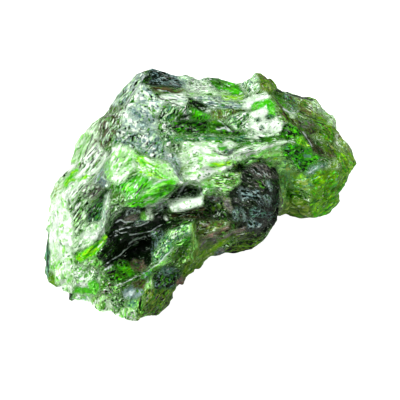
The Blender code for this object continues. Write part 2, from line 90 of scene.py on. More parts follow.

# The parts of the viewer's side that differ in finish: corners in picture millimetres,
# the turn of the grain in degrees, how much longer than wide its streaks are, and the
# share of the surface that each finish covers. A later one lies over an earlier one.
# Near-black shares of the panes are partly painted shade, grey-blue and white shares partly painted reflection of the
# lights and room, and the brightest green is painted light shining through
PANES = {
    "gap_roof": ([(-2.1, 1.2), (-1.4, 1.4), (-0.3, 1.05), (0.1, 0.7), (-0.1, 0.4), (-1.2, 0.7), (-1.9, 0.9)], 0, 1.5, {"leaf": 0.50, "mint": 0.60, "black_and_shade": 0.14, "frost_and_highlight": 0.66, "snow_and_highlight": 0.20}),
    "hollow_right": ([(-4.1, -3.4), (-3.9, -2.8), (-3.0, -2.5), (-2.3, -2.0), (-1.0, -1.9), (1.2, -1.9), (-0.8, -2.4), (-1.8, -2.6), (-2.6, -2.9), (-3.3, -3.6), (-3.8, -4.2)], 20, 2.0, {"black_and_shade": 0.78, "umber": 0.50, "leaf": 0.30, "taupe": 0.20}),
    "bed_edge": ([(-7.8, -7.1), (-6.9, -6.9), (-5.6, -6.3), (-5.0, -6.0), (-4.4, -5.3), (-3.6, -4.9), (-3.6, -5.6), (-4.4, -6.3), (-4.9, -6.8), (-5.6, -7.2), (-6.3, -7.6), (-6.8, -8.3), (-7.2, -7.6)], 30, 1.5, {"leaf": 0.72, "umber": 0.40, "frost_and_highlight": 0.14, "black_and_shade": 0.48, "moss": 0.30, "pit": 0.16}),
    "lobe_middle": ([(8.6, 0.4), (9.4, 0.9), (10.2, 0.7), (11.2, 0.4), (10.2, -0.4), (9.2, -0.4)], -40, 2.5, {"moss": 0.94, "shine_through_green": 0.28, "leaf": 0.44, "lime": 0.14, "pit": 0.06}),
    "far_gap": ([(8.0, 7.0), (8.8, 7.3), (10.3, 6.6), (9.8, 6.1), (8.9, 6.2), (8.2, 6.4)], -20, 1.5, {"olive": 0.55, "leaf": 0.50, "sage": 0.30, "umber": 0.35}),
    "snow_face": ([
        (-12.4, -0.6), (-11.9, 0.3), (-11.0, 0.6), (-10.2, 0.3), (-10.6, -0.8), (-10.1, -1.6),
        (-10.1, -3.2), (-10.2, -4.8), (-10.9, -5.2), (-12.1, -5.0), (-12.3, -3.0),
    ], 80, 1.0, {"snow_and_highlight": 0.60, "frost_and_highlight": 0.56, "mint": 0.64, "shine_through_green": 0.16, "pit": 0.04}),
    "snow_face_foot": ([
        (-12.1, -5.0), (-10.9, -5.2), (-10.2, -4.8), (-10.0, -5.5), (-10.0, -7.0), (-11.1, -7.3),
        (-11.7, -7.2), (-11.7, -6.3), (-12.1, -6.0),
    ], 60, 1.5, {"mint": 0.92, "frost_and_highlight": 0.42, "snow_and_highlight": 0.36, "shine_through_green": 0.22, "pit": 0.08}),
    "snow_face_rim": ([
        (-12.8, -2.6), (-12.25, -2.6), (-12.1, -3.6), (-12.0, -6.0), (-12.2, -6.7), (-12.8, -6.2),
    ], 88, 4.0, {"teal": 0.80, "sage": 0.40, "leaf": 0.30, "pearl_and_reflection": 0.16}),
    "corner_rim": ([
        (-12.3, -7.1), (-12.0, -6.3), (-11.6, -6.3), (-11.6, -6.9), (-11.1, -7.05), (-11.2, -7.5),
    ], 60, 1.5, {"leaf": 0.60, "moss": 0.80}),
    "shoulder_rim": ([
        (-12.3, -0.8), (-11.9, 0.8), (-11.2, 1.6), (-10.8, 1.2), (-11.0, 0.6), (-11.4, 0.0), (-11.6, -0.6),
    ], 55, 1.5, {"frost_and_highlight": 0.70, "sage": 0.45, "moss": 0.35}),
    "white_shoulder": ([
        (-10.6, 2.2), (-10.0, 2.8), (-9.3, 3.1), (-8.9, 3.6), (-8.6, 5.2), (-8.0, 4.8), (-8.0, 3.9),
        (-7.5, 3.4), (-7.0, 3.2), (-7.6, 2.4), (-8.4, 1.4), (-9.3, 0.6), (-10.2, -0.6), (-10.9, 0.3),
    ], 50, 5.0, {"umber": 0.48, "frost_and_highlight": 0.74, "snow_and_highlight": 0.52, "leaf": 0.32, "pearl_and_reflection": 0.30, "black_and_shade": 0.14, "pit": 0.16}),
    "left_bright": ([
        (-10.9, 0.4), (-11.0, 0.9), (-10.7, 1.4), (-10.2, 2.1), (-9.7, 2.2), (-9.65, 1.8), (-10.2, 1.4),
        (-9.7, 1.3), (-9.2, 1.6), (-8.8, 1.8), (-8.8, 1.4), (-9.6, 1.0), (-10.3, 1.0), (-10.6, 0.4),
    ], 40, 2.0, {"shine_through_green": 0.92, "lime": 0.50, "moss": 0.30, "mint": 0.12, "pit": 0.10}),
    "left_green_rim": ([
        (-10.6, 2.5), (-10.3, 3.6), (-9.7, 5.0), (-8.9, 5.4), (-8.7, 4.8), (-8.9, 4.0), (-9.3, 3.2),
        (-9.6, 2.7),
    ], 62, 3.0, {"mint": 0.60, "leaf": 0.40, "frost_and_highlight": 0.50, "sage": 0.30, "umber": 0.16}),
    "shoulder_pale": ([
        (-9.2, 5.2), (-8.6, 6.4), (-7.7, 6.6), (-7.6, 5.6), (-8.0, 4.6), (-8.5, 4.6),
    ], 70, 3.0, {"frost_and_highlight": 0.55, "mint": 0.25, "umber": 0.45, "leaf": 0.25, "pit": 0.14}),
    "olive_streaks": ([
        (-8.1, 5.8), (-7.9, 6.7), (-7.3, 7.2), (-6.5, 7.2), (-6.1, 7.3), (-6.1, 6.3), (-6.3, 5.2),
        (-6.5, 4.3), (-6.9, 4.0), (-7.8, 3.7), (-8.2, 4.2), (-8.1, 5.0),
    ], 78, 4.0, {"umber": 0.80, "moss": 0.26, "leaf": 0.26, "frost_and_highlight": 0.26, "pearl_and_reflection": 0.36, "black_and_shade": 0.26, "pit": 0.18}),
    "outer_strip": ([
        (-7.6, 7.1), (-6.9, 8.3), (-5.9, 9.1), (-5.2, 9.9), (-4.6, 10.0), (-4.35, 9.6), (-4.7, 9.1),
        (-5.3, 8.4), (-5.7, 7.7), (-6.0, 7.2), (-6.6, 7.1),
    ], 57, 4.0, {"frost_and_highlight": 0.38, "pearl_and_reflection": 0.56, "steel_reflection": 0.36, "umber": 0.46, "black_and_shade": 0.22, "pit": 0.14}),
    # Pale grey and grey-blue here are partly painted reflection of the room on this facet that faces up
    "great_face": ([
        (-4.6, 9.0), (-3.9, 8.3), (-3.4, 7.7), (-2.8, 7.4), (-3.1, 6.6), (-3.3, 6.0), (-3.5, 5.2),
        (-4.8, 4.9), (-6.3, 5.2), (-6.1, 6.2), (-6.0, 7.0), (-5.4, 8.0),
    ], -45, 1.3, {"pearl_and_reflection": 0.76, "steel_reflection": 0.58, "frost_and_highlight": 0.36, "sage": 0.10, "snow_and_highlight": 0.20, "black_and_shade": 0.14, "pit": 0.10}),
    "great_face_white": ([
        (-5.7, 7.3), (-5.5, 8.0), (-5.0, 8.6), (-4.8, 7.9), (-5.2, 7.2), (-5.5, 6.9), (-5.4, 6.1),
        (-6.1, 6.0), (-6.1, 6.9),
    ], 60, 1.5, {"snow_and_highlight": 0.40, "frost_and_highlight": 0.46, "pearl_and_reflection": 0.62, "steel_reflection": 0.42, "black_and_shade": 0.10}),
    "grey_spot": ([
        (-5.7, 7.0), (-5.2, 7.1), (-4.8, 6.6), (-4.5, 6.2), (-5.1, 6.0), (-5.5, 6.2),
    ], -50, 1.5, {"steel_reflection": 0.72, "taupe": 0.45, "pearl_and_reflection": 0.30}),
    "grey_spot_low": ([
        (-4.9, 5.9), (-4.2, 6.0), (-3.9, 5.5), (-4.4, 5.2), (-4.9, 5.5),
    ], 60, 1.3, {"steel_reflection": 0.72, "teal": 0.35, "pearl_and_reflection": 0.35}),
    "face_foot": ([
        (-6.4, 5.2), (-4.8, 4.9), (-3.5, 5.2), (-3.0, 4.2), (-2.6, 3.4), (-2.3, 2.7), (-3.4, 2.8),
        (-5.0, 3.5), (-6.3, 4.1), (-6.9, 4.0),
    ], 60, 1.8, {"pearl_and_reflection": 0.50, "frost_and_highlight": 0.24, "steel_reflection": 0.42, "teal": 0.42, "leaf": 0.46, "black_and_shade": 0.28, "snow_and_highlight": 0.16, "pit": 0.18}),
    "face_right": ([
        (-3.5, 6.2), (-2.9, 7.3), (-1.8, 7.0), (-1.2, 7.6), (-0.9, 6.9), (-0.7, 6.0), (-2.0, 6.0),
        (-2.0, 5.3), (-2.0, 4.6), (-2.5, 3.4), (-3.0, 4.2), (-3.4, 5.2),
    ], 55, 1.8, {"leaf": 0.72, "teal": 0.45, "frost_and_highlight": 0.36, "pearl_and_reflection": 0.30, "shine_through_green": 0.20, "black_and_shade": 0.30, "snow_and_highlight": 0.22, "pit": 0.26}),
    "steel_top": ([
        (-4.8, 9.05), (-4.3, 9.8), (-3.9, 10.4), (-2.5, 10.2), (-1.2, 9.8), (-1.2, 8.9), (-1.5, 8.6),
        (-2.6, 8.75), (-3.8, 8.75), (-4.2, 8.9),
    ], -10, 1.8, {"steel_reflection": 0.60, "black_and_shade": 0.62, "teal": 0.18, "pearl_and_reflection": 0.12, "pit": 0.00}),
    "steel_top_left": ([
        (-4.75, 9.05), (-4.35, 9.7), (-3.95, 9.9), (-4.0, 9.1), (-4.2, 8.85),
    ], 60, 1.5, {"black_and_shade": 0.86, "steel_reflection": 0.25}),
    "steel_top_light": ([
        (-2.0, 9.9), (-1.0, 9.5), (-0.7, 9.3), (-0.9, 8.4), (-1.6, 8.6), (-1.3, 9.0), (-1.7, 9.3),
    ], -15, 2.0, {"pearl_and_reflection": 0.65, "steel_reflection": 0.40, "frost_and_highlight": 0.40}),
    "brown_ledge": ([
        (-4.1, 8.75), (-2.4, 8.65), (-1.3, 8.5), (-1.3, 8.25), (-2.6, 8.15), (-3.6, 8.25),
    ], -5, 6.0, {"umber": 0.84, "moss": 0.25, "pearl_and_reflection": 0.15}),
    "white_step": ([
        (-3.0, 8.12), (-1.2, 8.2), (-1.0, 7.6), (-1.4, 7.1), (-2.0, 7.2), (-2.8, 7.45), (-3.4, 7.7),
    ], -8, 4.0, {"snow_and_highlight": 0.66, "pearl_and_reflection": 0.70, "steel_reflection": 0.20, "frost_and_highlight": 0.45}),
    "white_cap": ([
        (-1.0, 9.1), (-0.6, 9.4), (0.6, 9.5), (0.9, 8.9), (1.3, 8.6), (0.8, 8.2), (-0.2, 8.2), (-1.1, 8.4),
    ], 10, 1.2, {"frost_and_highlight": 0.62, "pearl_and_reflection": 0.50, "snow_and_highlight": 0.46, "teal": 0.44, "leaf": 0.36, "black_and_shade": 0.20, "pit": 0.16}),
    "orange_speck": ([(0.3, 8.7), (0.5, 8.75), (0.6, 8.5), (0.4, 8.35)], 60, 1.0, {"rust": 0.86, "snow_and_highlight": 0.10}),
    "green_roof": ([
        (0.5, 9.6), (1.8, 9.5), (3.0, 9.2), (3.3, 8.6), (3.5, 8.1), (3.1, 7.9), (2.6, 8.1), (1.7, 8.35),
        (1.2, 8.7), (0.8, 9.0),
    ], -18, 3.0, {"leaf": 0.84, "shine_through_green": 0.70, "lime": 0.12, "black_and_shade": 0.14, "glint_highlight": 0.06}),
    "green_roof_dark": ([
        (0.5, 9.6), (1.2, 9.5), (2.2, 9.3), (1.9, 8.95), (1.3, 8.8), (0.9, 9.0),
    ], -18, 3.0, {"leaf": 0.86, "black_and_shade": 0.46, "glint_highlight": 0.05}),
    "roof_pale": ([
        (-1.1, 8.25), (0.2, 8.2), (1.4, 8.4), (2.4, 8.2), (1.8, 7.95), (0.0, 7.95), (-1.1, 7.9),
    ], -3, 4.0, {"mint": 0.62, "frost_and_highlight": 0.54, "leaf": 0.50, "teal": 0.24, "snow_and_highlight": 0.28, "black_and_shade": 0.14}),
    "yellow_strip": ([
        (1.7, 8.05), (2.6, 8.05), (3.4, 7.95), (3.4, 7.7), (2.8, 7.5), (1.9, 7.6),
    ], -5, 2.5, {"lime": 0.94, "frost_and_highlight": 0.30, "shine_through_green": 0.20}),
    # Grey-blue here is painted reflection of the room on this long facet that faces up
    "blue_facet": ([
        (-1.1, 7.9), (0.0, 7.95), (1.6, 7.9), (1.9, 7.6), (2.8, 7.45), (3.6, 7.1), (4.0, 6.75), (2.5, 6.9),
        (1.2, 7.0), (0.6, 7.0), (0.5, 7.3), (-0.5, 7.5),
    ], -12, 3.0, {"steel_reflection": 0.84, "pearl_and_reflection": 0.60, "teal": 0.15, "black_and_shade": 0.24, "frost_and_highlight": 0.36, "snow_and_highlight": 0.10}),
    # The gash is near-black: painted shade in the crack
    "gash": ([
        (-1.05, 7.85), (-0.8, 7.7), (0.0, 7.5), (0.55, 7.25), (0.5, 6.95), (0.2, 6.7), (-0.4, 6.95),
        (-0.9, 7.35),
    ], -30, 2.0, {"black_and_shade": 0.86, "leaf": 0.40, "glint_highlight": 0.12}),
    "gash_lip": ([(0.5, 7.0), (1.2, 7.0), (1.25, 6.75), (0.5, 6.65)], 5, 1.5, {"snow_and_highlight": 0.70, "pearl_and_reflection": 0.50}),
    "green_fan": ([
        (-0.6, 6.9), (0.2, 6.7), (0.6, 6.5), (0.9, 6.3), (0.7, 5.95), (-0.2, 6.0), (-0.8, 6.1),
    ], 55, 3.0, {"shine_through_green": 0.88, "leaf": 0.70, "lime": 0.16, "black_and_shade": 0.24, "pit": 0.20, "glint_highlight": 0.00}),
    "olive_patch": ([
        (0.8, 6.6), (1.6, 6.85), (2.5, 6.9), (4.0, 6.75), (3.2, 6.5), (2.4, 6.2), (1.5, 6.0), (0.9, 6.2),
    ], 80, 1.5, {"olive": 0.62, "umber": 0.42, "moss": 0.56, "leaf": 0.50, "frost_and_highlight": 0.14, "black_and_shade": 0.18, "pit": 0.18}),
    # Darker here: painted shade at the bottom of the valley
    "valley_dark": ([
        (-2.1, 5.8), (-1.5, 6.0), (-0.6, 6.0), (0.4, 6.0), (1.0, 5.6), (0.5, 5.2), (1.2, 5.0), (-0.3, 4.8),
        (-1.8, 4.9), (-2.2, 5.3),
    ], 25, 3.0, {"leaf": 0.95, "black_and_shade": 0.66, "shine_through_green": 0.28, "umber": 0.20, "glint_highlight": 0.00, "pit": 0.05}),
    "valley_right": ([
        (0.5, 5.6), (1.3, 6.1), (1.9, 5.7), (2.6, 5.3), (3.7, 4.95), (3.6, 4.65), (2.0, 4.75), (0.8, 4.9),
    ], -30, 3.0, {"leaf": 0.90, "moss": 0.36, "shine_through_green": 0.22, "black_and_shade": 0.34, "pit": 0.14}),
    "teal_pale": ([
        (2.2, 6.2), (3.3, 6.6), (3.9, 6.7), (4.1, 5.4), (3.7, 5.0), (2.6, 5.3), (2.0, 5.8),
    ], 40, 1.3, {"mint": 0.30, "frost_and_highlight": 0.40, "teal": 0.60, "leaf": 0.66, "black_and_shade": 0.20, "snow_and_highlight": 0.20, "pit": 0.24}),
    "streaky_floor": ([
        (-2.2, 4.7), (-1.0, 4.7), (0.5, 4.85), (2.0, 4.6), (3.5, 4.75), (4.3, 4.7), (3.9, 4.3),
        (2.9, 4.1), (1.8, 4.35), (0.0, 4.2), (-2.0, 4.2),
    ], -3, 3.0, {"teal": 0.66, "pearl_and_reflection": 0.14, "frost_and_highlight": 0.18, "leaf": 0.86, "black_and_shade": 0.24, "snow_and_highlight": 0.10, "pit": 0.34}),
    "broad_white": ([
        (-1.4, 4.1), (0.0, 4.2), (1.2, 4.2), (2.4, 4.3), (2.9, 4.0), (2.4, 3.6), (3.0, 3.3),
        (2.9, 2.9), (2.3, 2.6), (2.6, 2.2), (1.6, 1.7), (0.8, 1.6), (-0.2, 1.0), (-1.2, 1.3), (-1.5, 2.2),
        (-1.3, 3.0),
    ], -8, 1.8, {"snow_and_highlight": 0.74, "frost_and_highlight": 0.58, "mint": 0.56, "leaf": 0.44, "shine_through_green": 0.26, "pit": 0.14}),
    "broad_left": ([(-1.3, 1.6), (-0.5, 1.4), (0.3, 2.3), (0.3, 3.4), (-0.4, 4.0), (-1.0, 3.4)], 20, 1.8, {"mint": 0.56, "leaf": 0.64, "frost_and_highlight": 0.46, "snow_and_highlight": 0.36, "shine_through_green": 0.26, "olive": 0.30, "pit": 0.16}),
    "broad_lime": ([
        (0.5, 2.4), (1.5, 2.6), (2.6, 2.8), (2.4, 2.35), (1.6, 2.1), (0.8, 2.1),
    ], 8, 3.0, {"lime": 0.80, "mint": 0.50, "shine_through_green": 0.30}),
    "broad_green_a": ([(0.7, 4.2), (1.7, 4.4), (1.9, 4.1), (1.0, 3.95)], 5, 2.0, {"shine_through_green": 0.50, "leaf": 0.75}),
    "broad_green_b": ([(1.3, 3.75), (2.2, 3.95), (2.1, 3.5), (1.5, 3.5)], 5, 2.0, {"shine_through_green": 0.60, "leaf": 0.55}),
    "violet_spot": ([
        (1.7, 3.35), (2.1, 3.7), (2.8, 3.75), (2.7, 3.3), (2.2, 3.1),
    ], 20, 1.5, {"taupe": 0.55, "black_and_shade": 0.40, "steel_reflection": 0.40}),
    "olive_left": ([
        (-1.7, 3.3), (-1.0, 4.0), (-0.8, 3.3), (-1.2, 2.6), (-1.7, 2.9),
    ], -40, 1.5, {"olive": 0.46, "taupe": 0.20, "leaf": 0.30, "frost_and_highlight": 0.58, "mint": 0.34, "snow_and_highlight": 0.20}),
    "moss_left": ([(-1.7, 2.35), (-0.6, 2.4), (-1.0, 1.9), (-1.6, 1.95)], 10, 2.0, {"moss": 0.66, "frost_and_highlight": 0.30}),
    "dark_blob": ([
        (-2.4, 3.9), (-1.9, 4.2), (-1.4, 4.0), (-1.5, 3.4), (-2.2, 3.4),
    ], 20, 1.3, {"leaf": 0.60, "black_and_shade": 0.40, "moss": 0.30, "frost_and_highlight": 0.38}),
    "violet_streak": ([
        (-2.8, 3.4), (-2.0, 3.3), (-1.5, 2.6), (-1.6, 1.7), (-1.2, 1.0), (-1.6, 1.1), (-2.0, 1.8), (-2.5, 2.5),
    ], -60, 2.5, {"pearl_and_reflection": 0.66, "steel_reflection": 0.34, "taupe": 0.34, "snow_and_highlight": 0.26, "black_and_shade": 0.14}),
    "wedge_pale": ([
        (-7.0, 3.4), (-6.9, 3.8), (-6.3, 4.05), (-5.2, 3.5), (-5.2, 2.9), (-5.0, 2.2), (-5.6, 1.6),
        (-6.0, 1.0), (-6.6, 0.8), (-7.0, 1.1), (-7.2, 2.2),
    ], 62, 2.5, {"frost_and_highlight": 0.60, "mint": 0.72, "snow_and_highlight": 0.26, "shine_through_green": 0.38, "leaf": 0.46, "pit": 0.12}),
    "wedge_bright": ([
        (-5.4, 3.4), (-4.2, 3.0), (-3.4, 2.6), (-2.9, 1.9), (-2.2, 1.3), (-3.0, 1.1), (-3.9, 1.4),
        (-4.9, 1.7), (-5.1, 2.4),
    ], -30, 2.5, {"shine_through_green": 0.90, "lime": 0.54, "frost_and_highlight": 0.26, "snow_and_highlight": 0.28, "mint": 0.24, "leaf": 0.20, "pit": 0.14}),
    "wedge_apron": ([
        (-3.6, 2.8), (-2.8, 2.7), (-2.3, 2.3), (-1.9, 1.6), (-1.6, 1.05), (-2.2, 1.3), (-2.8, 2.0),
    ], -40, 2.0, {"mint": 0.80, "frost_and_highlight": 0.40, "shine_through_green": 0.36, "leaf": 0.26, "pit": 0.12}),
    "wedge_middle": ([
        (-6.6, 0.9), (-5.9, 1.0), (-4.9, 1.7), (-3.9, 1.4), (-3.6, 0.95), (-4.5, 0.3), (-4.9, -0.4),
        (-5.6, -0.5), (-6.2, -0.2), (-6.8, 0.3),
    ], 52, 4.0, {"shine_through_green": 0.93, "frost_and_highlight": 0.12, "leaf": 0.70, "mint": 0.14, "snow_and_highlight": 0.16, "black_and_shade": 0.26, "pit": 0.14}),
    "wedge_under": ([
        (-5.9, -1.0), (-4.4, -1.0), (-3.4, -0.5), (-2.6, -0.1), (-2.0, 0.5), (-1.7, 1.0), (-2.2, 1.3),
        (-3.0, 1.05), (-3.8, 0.85), (-4.4, 0.2), (-4.9, -0.4), (-5.6, -0.6),
    ], 30, 3.0, {"shine_through_green": 0.97, "leaf": 0.50, "mint": 0.26, "frost_and_highlight": 0.10, "black_and_shade": 0.06, "pit": 0.10, "glint_highlight": 0.07}),
    "wedge_dots": ([(-3.8, 0.1), (-3.4, 0.6), (-2.3, 0.8), (-2.1, 0.45), (-3.2, 0.1)], 20, 1.5, {"leaf": 0.70, "moss": 0.45, "shine_through_green": 0.40}),
    "wedge_heel": ([
        (-7.1, -0.2), (-6.7, 0.4), (-6.1, 0.2), (-5.7, -0.4), (-5.9, -0.95), (-6.6, -1.0), (-7.1, -0.7),
    ], 35, 3.0, {"leaf": 0.66, "umber": 0.42, "frost_and_highlight": 0.28, "moss": 0.46, "shine_through_green": 0.38, "black_and_shade": 0.14, "pit": 0.18}),
    "heel_speckle": ([
        (-7.2, -0.8), (-6.0, -0.9), (-6.0, -1.3), (-6.6, -2.1), (-6.9, -2.8), (-7.4, -2.8),
    ], 70, 1.5, {"frost_and_highlight": 0.50, "leaf": 0.60, "black_and_shade": 0.28, "pearl_and_reflection": 0.34, "mint": 0.20, "pit": 0.22}),
    "grey_triangle": ([
        (-7.6, 2.5), (-7.5, 1.9), (-7.3, 1.2), (-7.1, 0.9), (-7.3, 0.5), (-8.0, 0.6), (-8.6, 0.9), (-8.3, 1.5),
    ], 55, 2.0, {"taupe": 0.70, "steel_reflection": 0.50, "pearl_and_reflection": 0.40, "frost_and_highlight": 0.20}),
    "teal_lens": ([(-7.5, 2.7), (-7.1, 2.8), (-7.0, 1.5), (-7.2, 1.1), (-7.5, 1.7)], 80, 2.0, {"mint": 0.60, "teal": 0.30, "pearl_and_reflection": 0.40}),
    "brown_streaks": ([
        (-9.4, 0.4), (-8.7, 1.0), (-7.9, 0.7), (-7.4, 0.4), (-7.9, 0.0), (-8.5, -0.3), (-9.1, -0.4),
    ], 50, 4.0, {"taupe": 0.66, "rust": 0.20, "black_and_shade": 0.26, "frost_and_highlight": 0.36, "leaf": 0.20, "pearl_and_reflection": 0.20}),
    "streaked_side": ([
        (-10.6, -1.0), (-10.2, -0.6), (-9.5, 0.2), (-9.1, -0.3), (-8.5, -0.8), (-8.9, -1.3), (-9.2, -2.0),
        (-9.6, -2.9), (-10.0, -3.2), (-10.1, -2.0),
    ], 58, 4.0, {"leaf": 0.78, "umber": 0.42, "frost_and_highlight": 0.46, "black_and_shade": 0.30, "mint": 0.28, "snow_and_highlight": 0.24, "pit": 0.16}),
    "black_diagonal": ([
        (-8.7, -1.0), (-7.9, 0.1), (-7.4, 0.45), (-7.0, 0.3), (-7.5, -0.3), (-8.0, -0.8), (-8.4, -1.2),
    ], 45, 3.0, {"leaf": 0.66, "shine_through_green": 0.20, "black_and_shade": 0.90, "pit": 0.00}),
    "bright_spots": ([(-9.1, -1.2), (-8.8, -0.95), (-8.35, -1.5), (-8.4, -2.05), (-9.0, -1.8)], 50, 1.3, {"shine_through_green": 0.94, "leaf": 0.66, "lime": 0.20, "black_and_shade": 0.24, "pit": 0.10}),
    "rib_left": ([
        (-9.0, -2.2), (-8.4, -2.0), (-8.0, -0.9), (-7.6, -0.9), (-7.7, -2.0), (-8.0, -3.3), (-8.8, -3.5),
        (-9.7, -3.4), (-9.3, -2.9),
    ], 75, 1.5, {"teal": 0.62, "leaf": 0.46, "frost_and_highlight": 0.56, "mint": 0.48, "pearl_and_reflection": 0.30, "snow_and_highlight": 0.20, "black_and_shade": 0.14, "pit": 0.16}),
    "rib_left_top": ([(-9.1, -1.1), (-8.2, -0.6), (-7.65, -0.3), (-7.7, -2.0), (-8.3, -2.2), (-9.0, -2.1)], 50, 2.0, {"leaf": 0.76, "black_and_shade": 0.50, "teal": 0.40, "shine_through_green": 0.16, "frost_and_highlight": 0.14, "pit": 0.10}),
    "rib_left_white": ([
        (-9.6, -3.35), (-9.0, -2.9), (-8.5, -3.0), (-8.0, -2.8), (-7.9, -3.4), (-9.0, -3.6),
    ], 20, 1.3, {"snow_and_highlight": 0.80, "pearl_and_reflection": 0.50, "frost_and_highlight": 0.40}),
    "rib": ([
        (-7.6, 0.0), (-7.1, 0.3), (-7.15, -0.9), (-7.4, -2.2), (-7.6, -3.1), (-8.0, -3.4), (-7.85, -2.2),
        (-7.6, -1.0),
    ], 80, 5.0, {"frost_and_highlight": 0.48, "snow_and_highlight": 0.32, "pearl_and_reflection": 0.50, "steel_reflection": 0.36, "teal": 0.25, "black_and_shade": 0.14}),
    "strip_above": ([
        (-10.1, -4.6), (-9.2, -4.2), (-8.3, -3.7), (-8.9, -3.5), (-9.7, -3.3), (-10.0, -3.3),
    ], 40, 2.0, {"frost_and_highlight": 0.72, "leaf": 0.30, "pearl_and_reflection": 0.26, "mint": 0.50, "shine_through_green": 0.34, "snow_and_highlight": 0.24}),
    "bright_strip": ([
        (-7.1, -3.0), (-7.5, -3.2), (-8.2, -3.8), (-9.0, -4.3), (-10.1, -4.9), (-9.6, -5.4), (-8.8, -5.0),
        (-8.0, -4.6), (-7.4, -3.9),
    ], 40, 4.0, {"shine_through_green": 0.95, "lime": 0.56, "leaf": 0.20, "black_and_shade": 0.08}),
    "strip_below": ([
        (-9.4, -5.4), (-8.7, -4.95), (-8.0, -4.7), (-7.5, -5.0), (-7.6, -5.6), (-7.9, -6.0), (-8.4, -5.7),
        (-9.0, -5.7),
    ], 40, 1.5, {"umber": 0.34, "leaf": 0.62, "teal": 0.46, "frost_and_highlight": 0.22, "mint": 0.42, "rust": 0.10, "shine_through_green": 0.36, "pit": 0.16}),
    "mottled_left": ([
        (-10.1, -5.5), (-9.4, -5.5), (-8.9, -5.9), (-8.0, -6.1), (-7.7, -6.8), (-8.3, -6.9),
        (-9.0, -6.9), (-9.4, -7.3), (-10.1, -7.3),
    ], 40, 1.3, {"frost_and_highlight": 0.46, "teal": 0.58, "mint": 0.46, "leaf": 0.60, "snow_and_highlight": 0.30, "black_and_shade": 0.16, "shine_through_green": 0.20, "pit": 0.20}),
    "green_toe": ([
        (-8.9, -6.8), (-8.3, -6.7), (-8.0, -7.3), (-8.2, -8.0), (-9.3, -7.9), (-10.3, -7.9), (-9.9, -7.4),
        (-9.0, -7.3),
    ], 30, 1.5, {"shine_through_green": 0.70, "leaf": 0.62, "moss": 0.40, "mint": 0.16}),
    "white_blob": ([(-9.55, -6.95), (-9.1, -6.85), (-8.95, -7.1), (-9.1, -7.35), (-9.6, -7.3)], 0, 1.0, {"snow_and_highlight": 0.90}),
    "corner_lobe": ([(-11.4, -7.3), (-10.9, -7.1), (-10.1, -7.2), (-10.2, -7.9), (-11.1, -7.9)], 40, 1.5, {"frost_and_highlight": 0.76, "mint": 0.56, "snow_and_highlight": 0.25, "moss": 0.24}),
    "low_lobe": ([
        (-10.6, -8.7), (-10.5, -7.85), (-9.6, -7.9), (-8.4, -8.0), (-8.5, -8.7), (-9.3, -8.7),
    ], 50, 2.0, {"sage": 0.45, "teal": 0.45, "pearl_and_reflection": 0.45, "mint": 0.40, "snow_and_highlight": 0.36}),
    "low_lobe_dark": ([(-10.7, -8.6), (-10.5, -7.8), (-10.1, -7.9), (-10.2, -8.5)], 60, 1.5, {"black_and_shade": 0.50, "leaf": 0.55, "teal": 0.30}),
    "foot_lobe": ([
        (-8.6, -8.0), (-7.6, -7.9), (-7.0, -8.1), (-6.8, -8.8), (-6.9, -9.6), (-8.5, -9.5), (-8.8, -8.6),
    ], 65, 2.0, {"mint": 0.62, "sage": 0.50, "frost_and_highlight": 0.42, "moss": 0.40, "leaf": 0.34, "rust": 0.20, "snow_and_highlight": 0.14, "black_and_shade": 0.14, "pit": 0.10}),
    "cream_blob": ([(-7.45, -8.4), (-7.0, -8.4), (-6.9, -9.0), (-7.4, -8.95)], 60, 1.2, {"rust": 0.30, "frost_and_highlight": 0.80}),
    "crumbly_foot": ([
        (-7.9, -6.1), (-7.3, -6.4), (-6.9, -7.0), (-6.3, -7.3), (-6.3, -7.9), (-7.2, -8.0), (-8.0, -7.8),
    ], 40, 1.2, {"frost_and_highlight": 0.22, "leaf": 0.74, "rust": 0.24, "black_and_shade": 0.44, "mint": 0.26, "umber": 0.30, "shine_through_green": 0.22, "snow_and_highlight": 0.12, "pit": 0.18}),
    "dark_flecked": ([
        (-7.2, -8.0), (-6.4, -7.9), (-5.9, -8.3), (-5.8, -9.0), (-6.4, -9.6), (-6.9, -8.9),
    ], 60, 1.5, {"leaf": 0.78, "pearl_and_reflection": 0.28, "frost_and_highlight": 0.28, "black_and_shade": 0.40, "teal": 0.34, "mint": 0.26, "shine_through_green": 0.30}),
    "toe": ([
        (-6.8, -9.6), (-5.9, -8.9), (-5.0, -8.9), (-4.9, -10.1), (-5.5, -10.4), (-6.5, -10.2),
    ], 85, 2.5, {"sage": 0.60, "mint": 0.88, "moss": 0.50, "shine_through_green": 0.56, "frost_and_highlight": 0.44, "black_and_shade": 0.24, "snow_and_highlight": 0.18, "pit": 0.00}),
    "toe_right": ([
        (-5.1, -8.2), (-4.5, -7.9), (-4.3, -9.0), (-4.1, -10.0), (-5.0, -10.2),
    ], 80, 3.0, {"leaf": 0.68, "moss": 0.60, "umber": 0.30, "sage": 0.44, "mint": 0.24, "black_and_shade": 0.38}),
    "blue_patch": ([
        (-6.1, -7.8), (-5.9, -7.4), (-5.4, -7.15), (-5.2, -7.4), (-4.5, -7.5), (-4.5, -7.9), (-5.2, -8.2),
        (-6.0, -8.1),
    ], 20, 1.2, {"steel_reflection": 0.90, "pearl_and_reflection": 0.42}),
    "teal_patch": ([(-5.8, -8.5), (-5.3, -8.2), (-4.9, -8.3), (-5.1, -8.9), (-5.7, -8.9)], 30, 1.2, {"teal": 0.84, "mint": 0.30}),
    "smooth_foot": ([
        (-4.4, -7.4), (-3.4, -7.4), (-2.2, -7.2), (-1.7, -7.6), (-2.4, -8.9), (-3.0, -9.7), (-4.2, -10.0),
        (-4.3, -8.9),
    ], 55, 4.0, {"moss": 0.66, "olive": 0.56, "leaf": 0.46, "taupe": 0.20, "black_and_shade": 0.28, "sage": 0.16}),
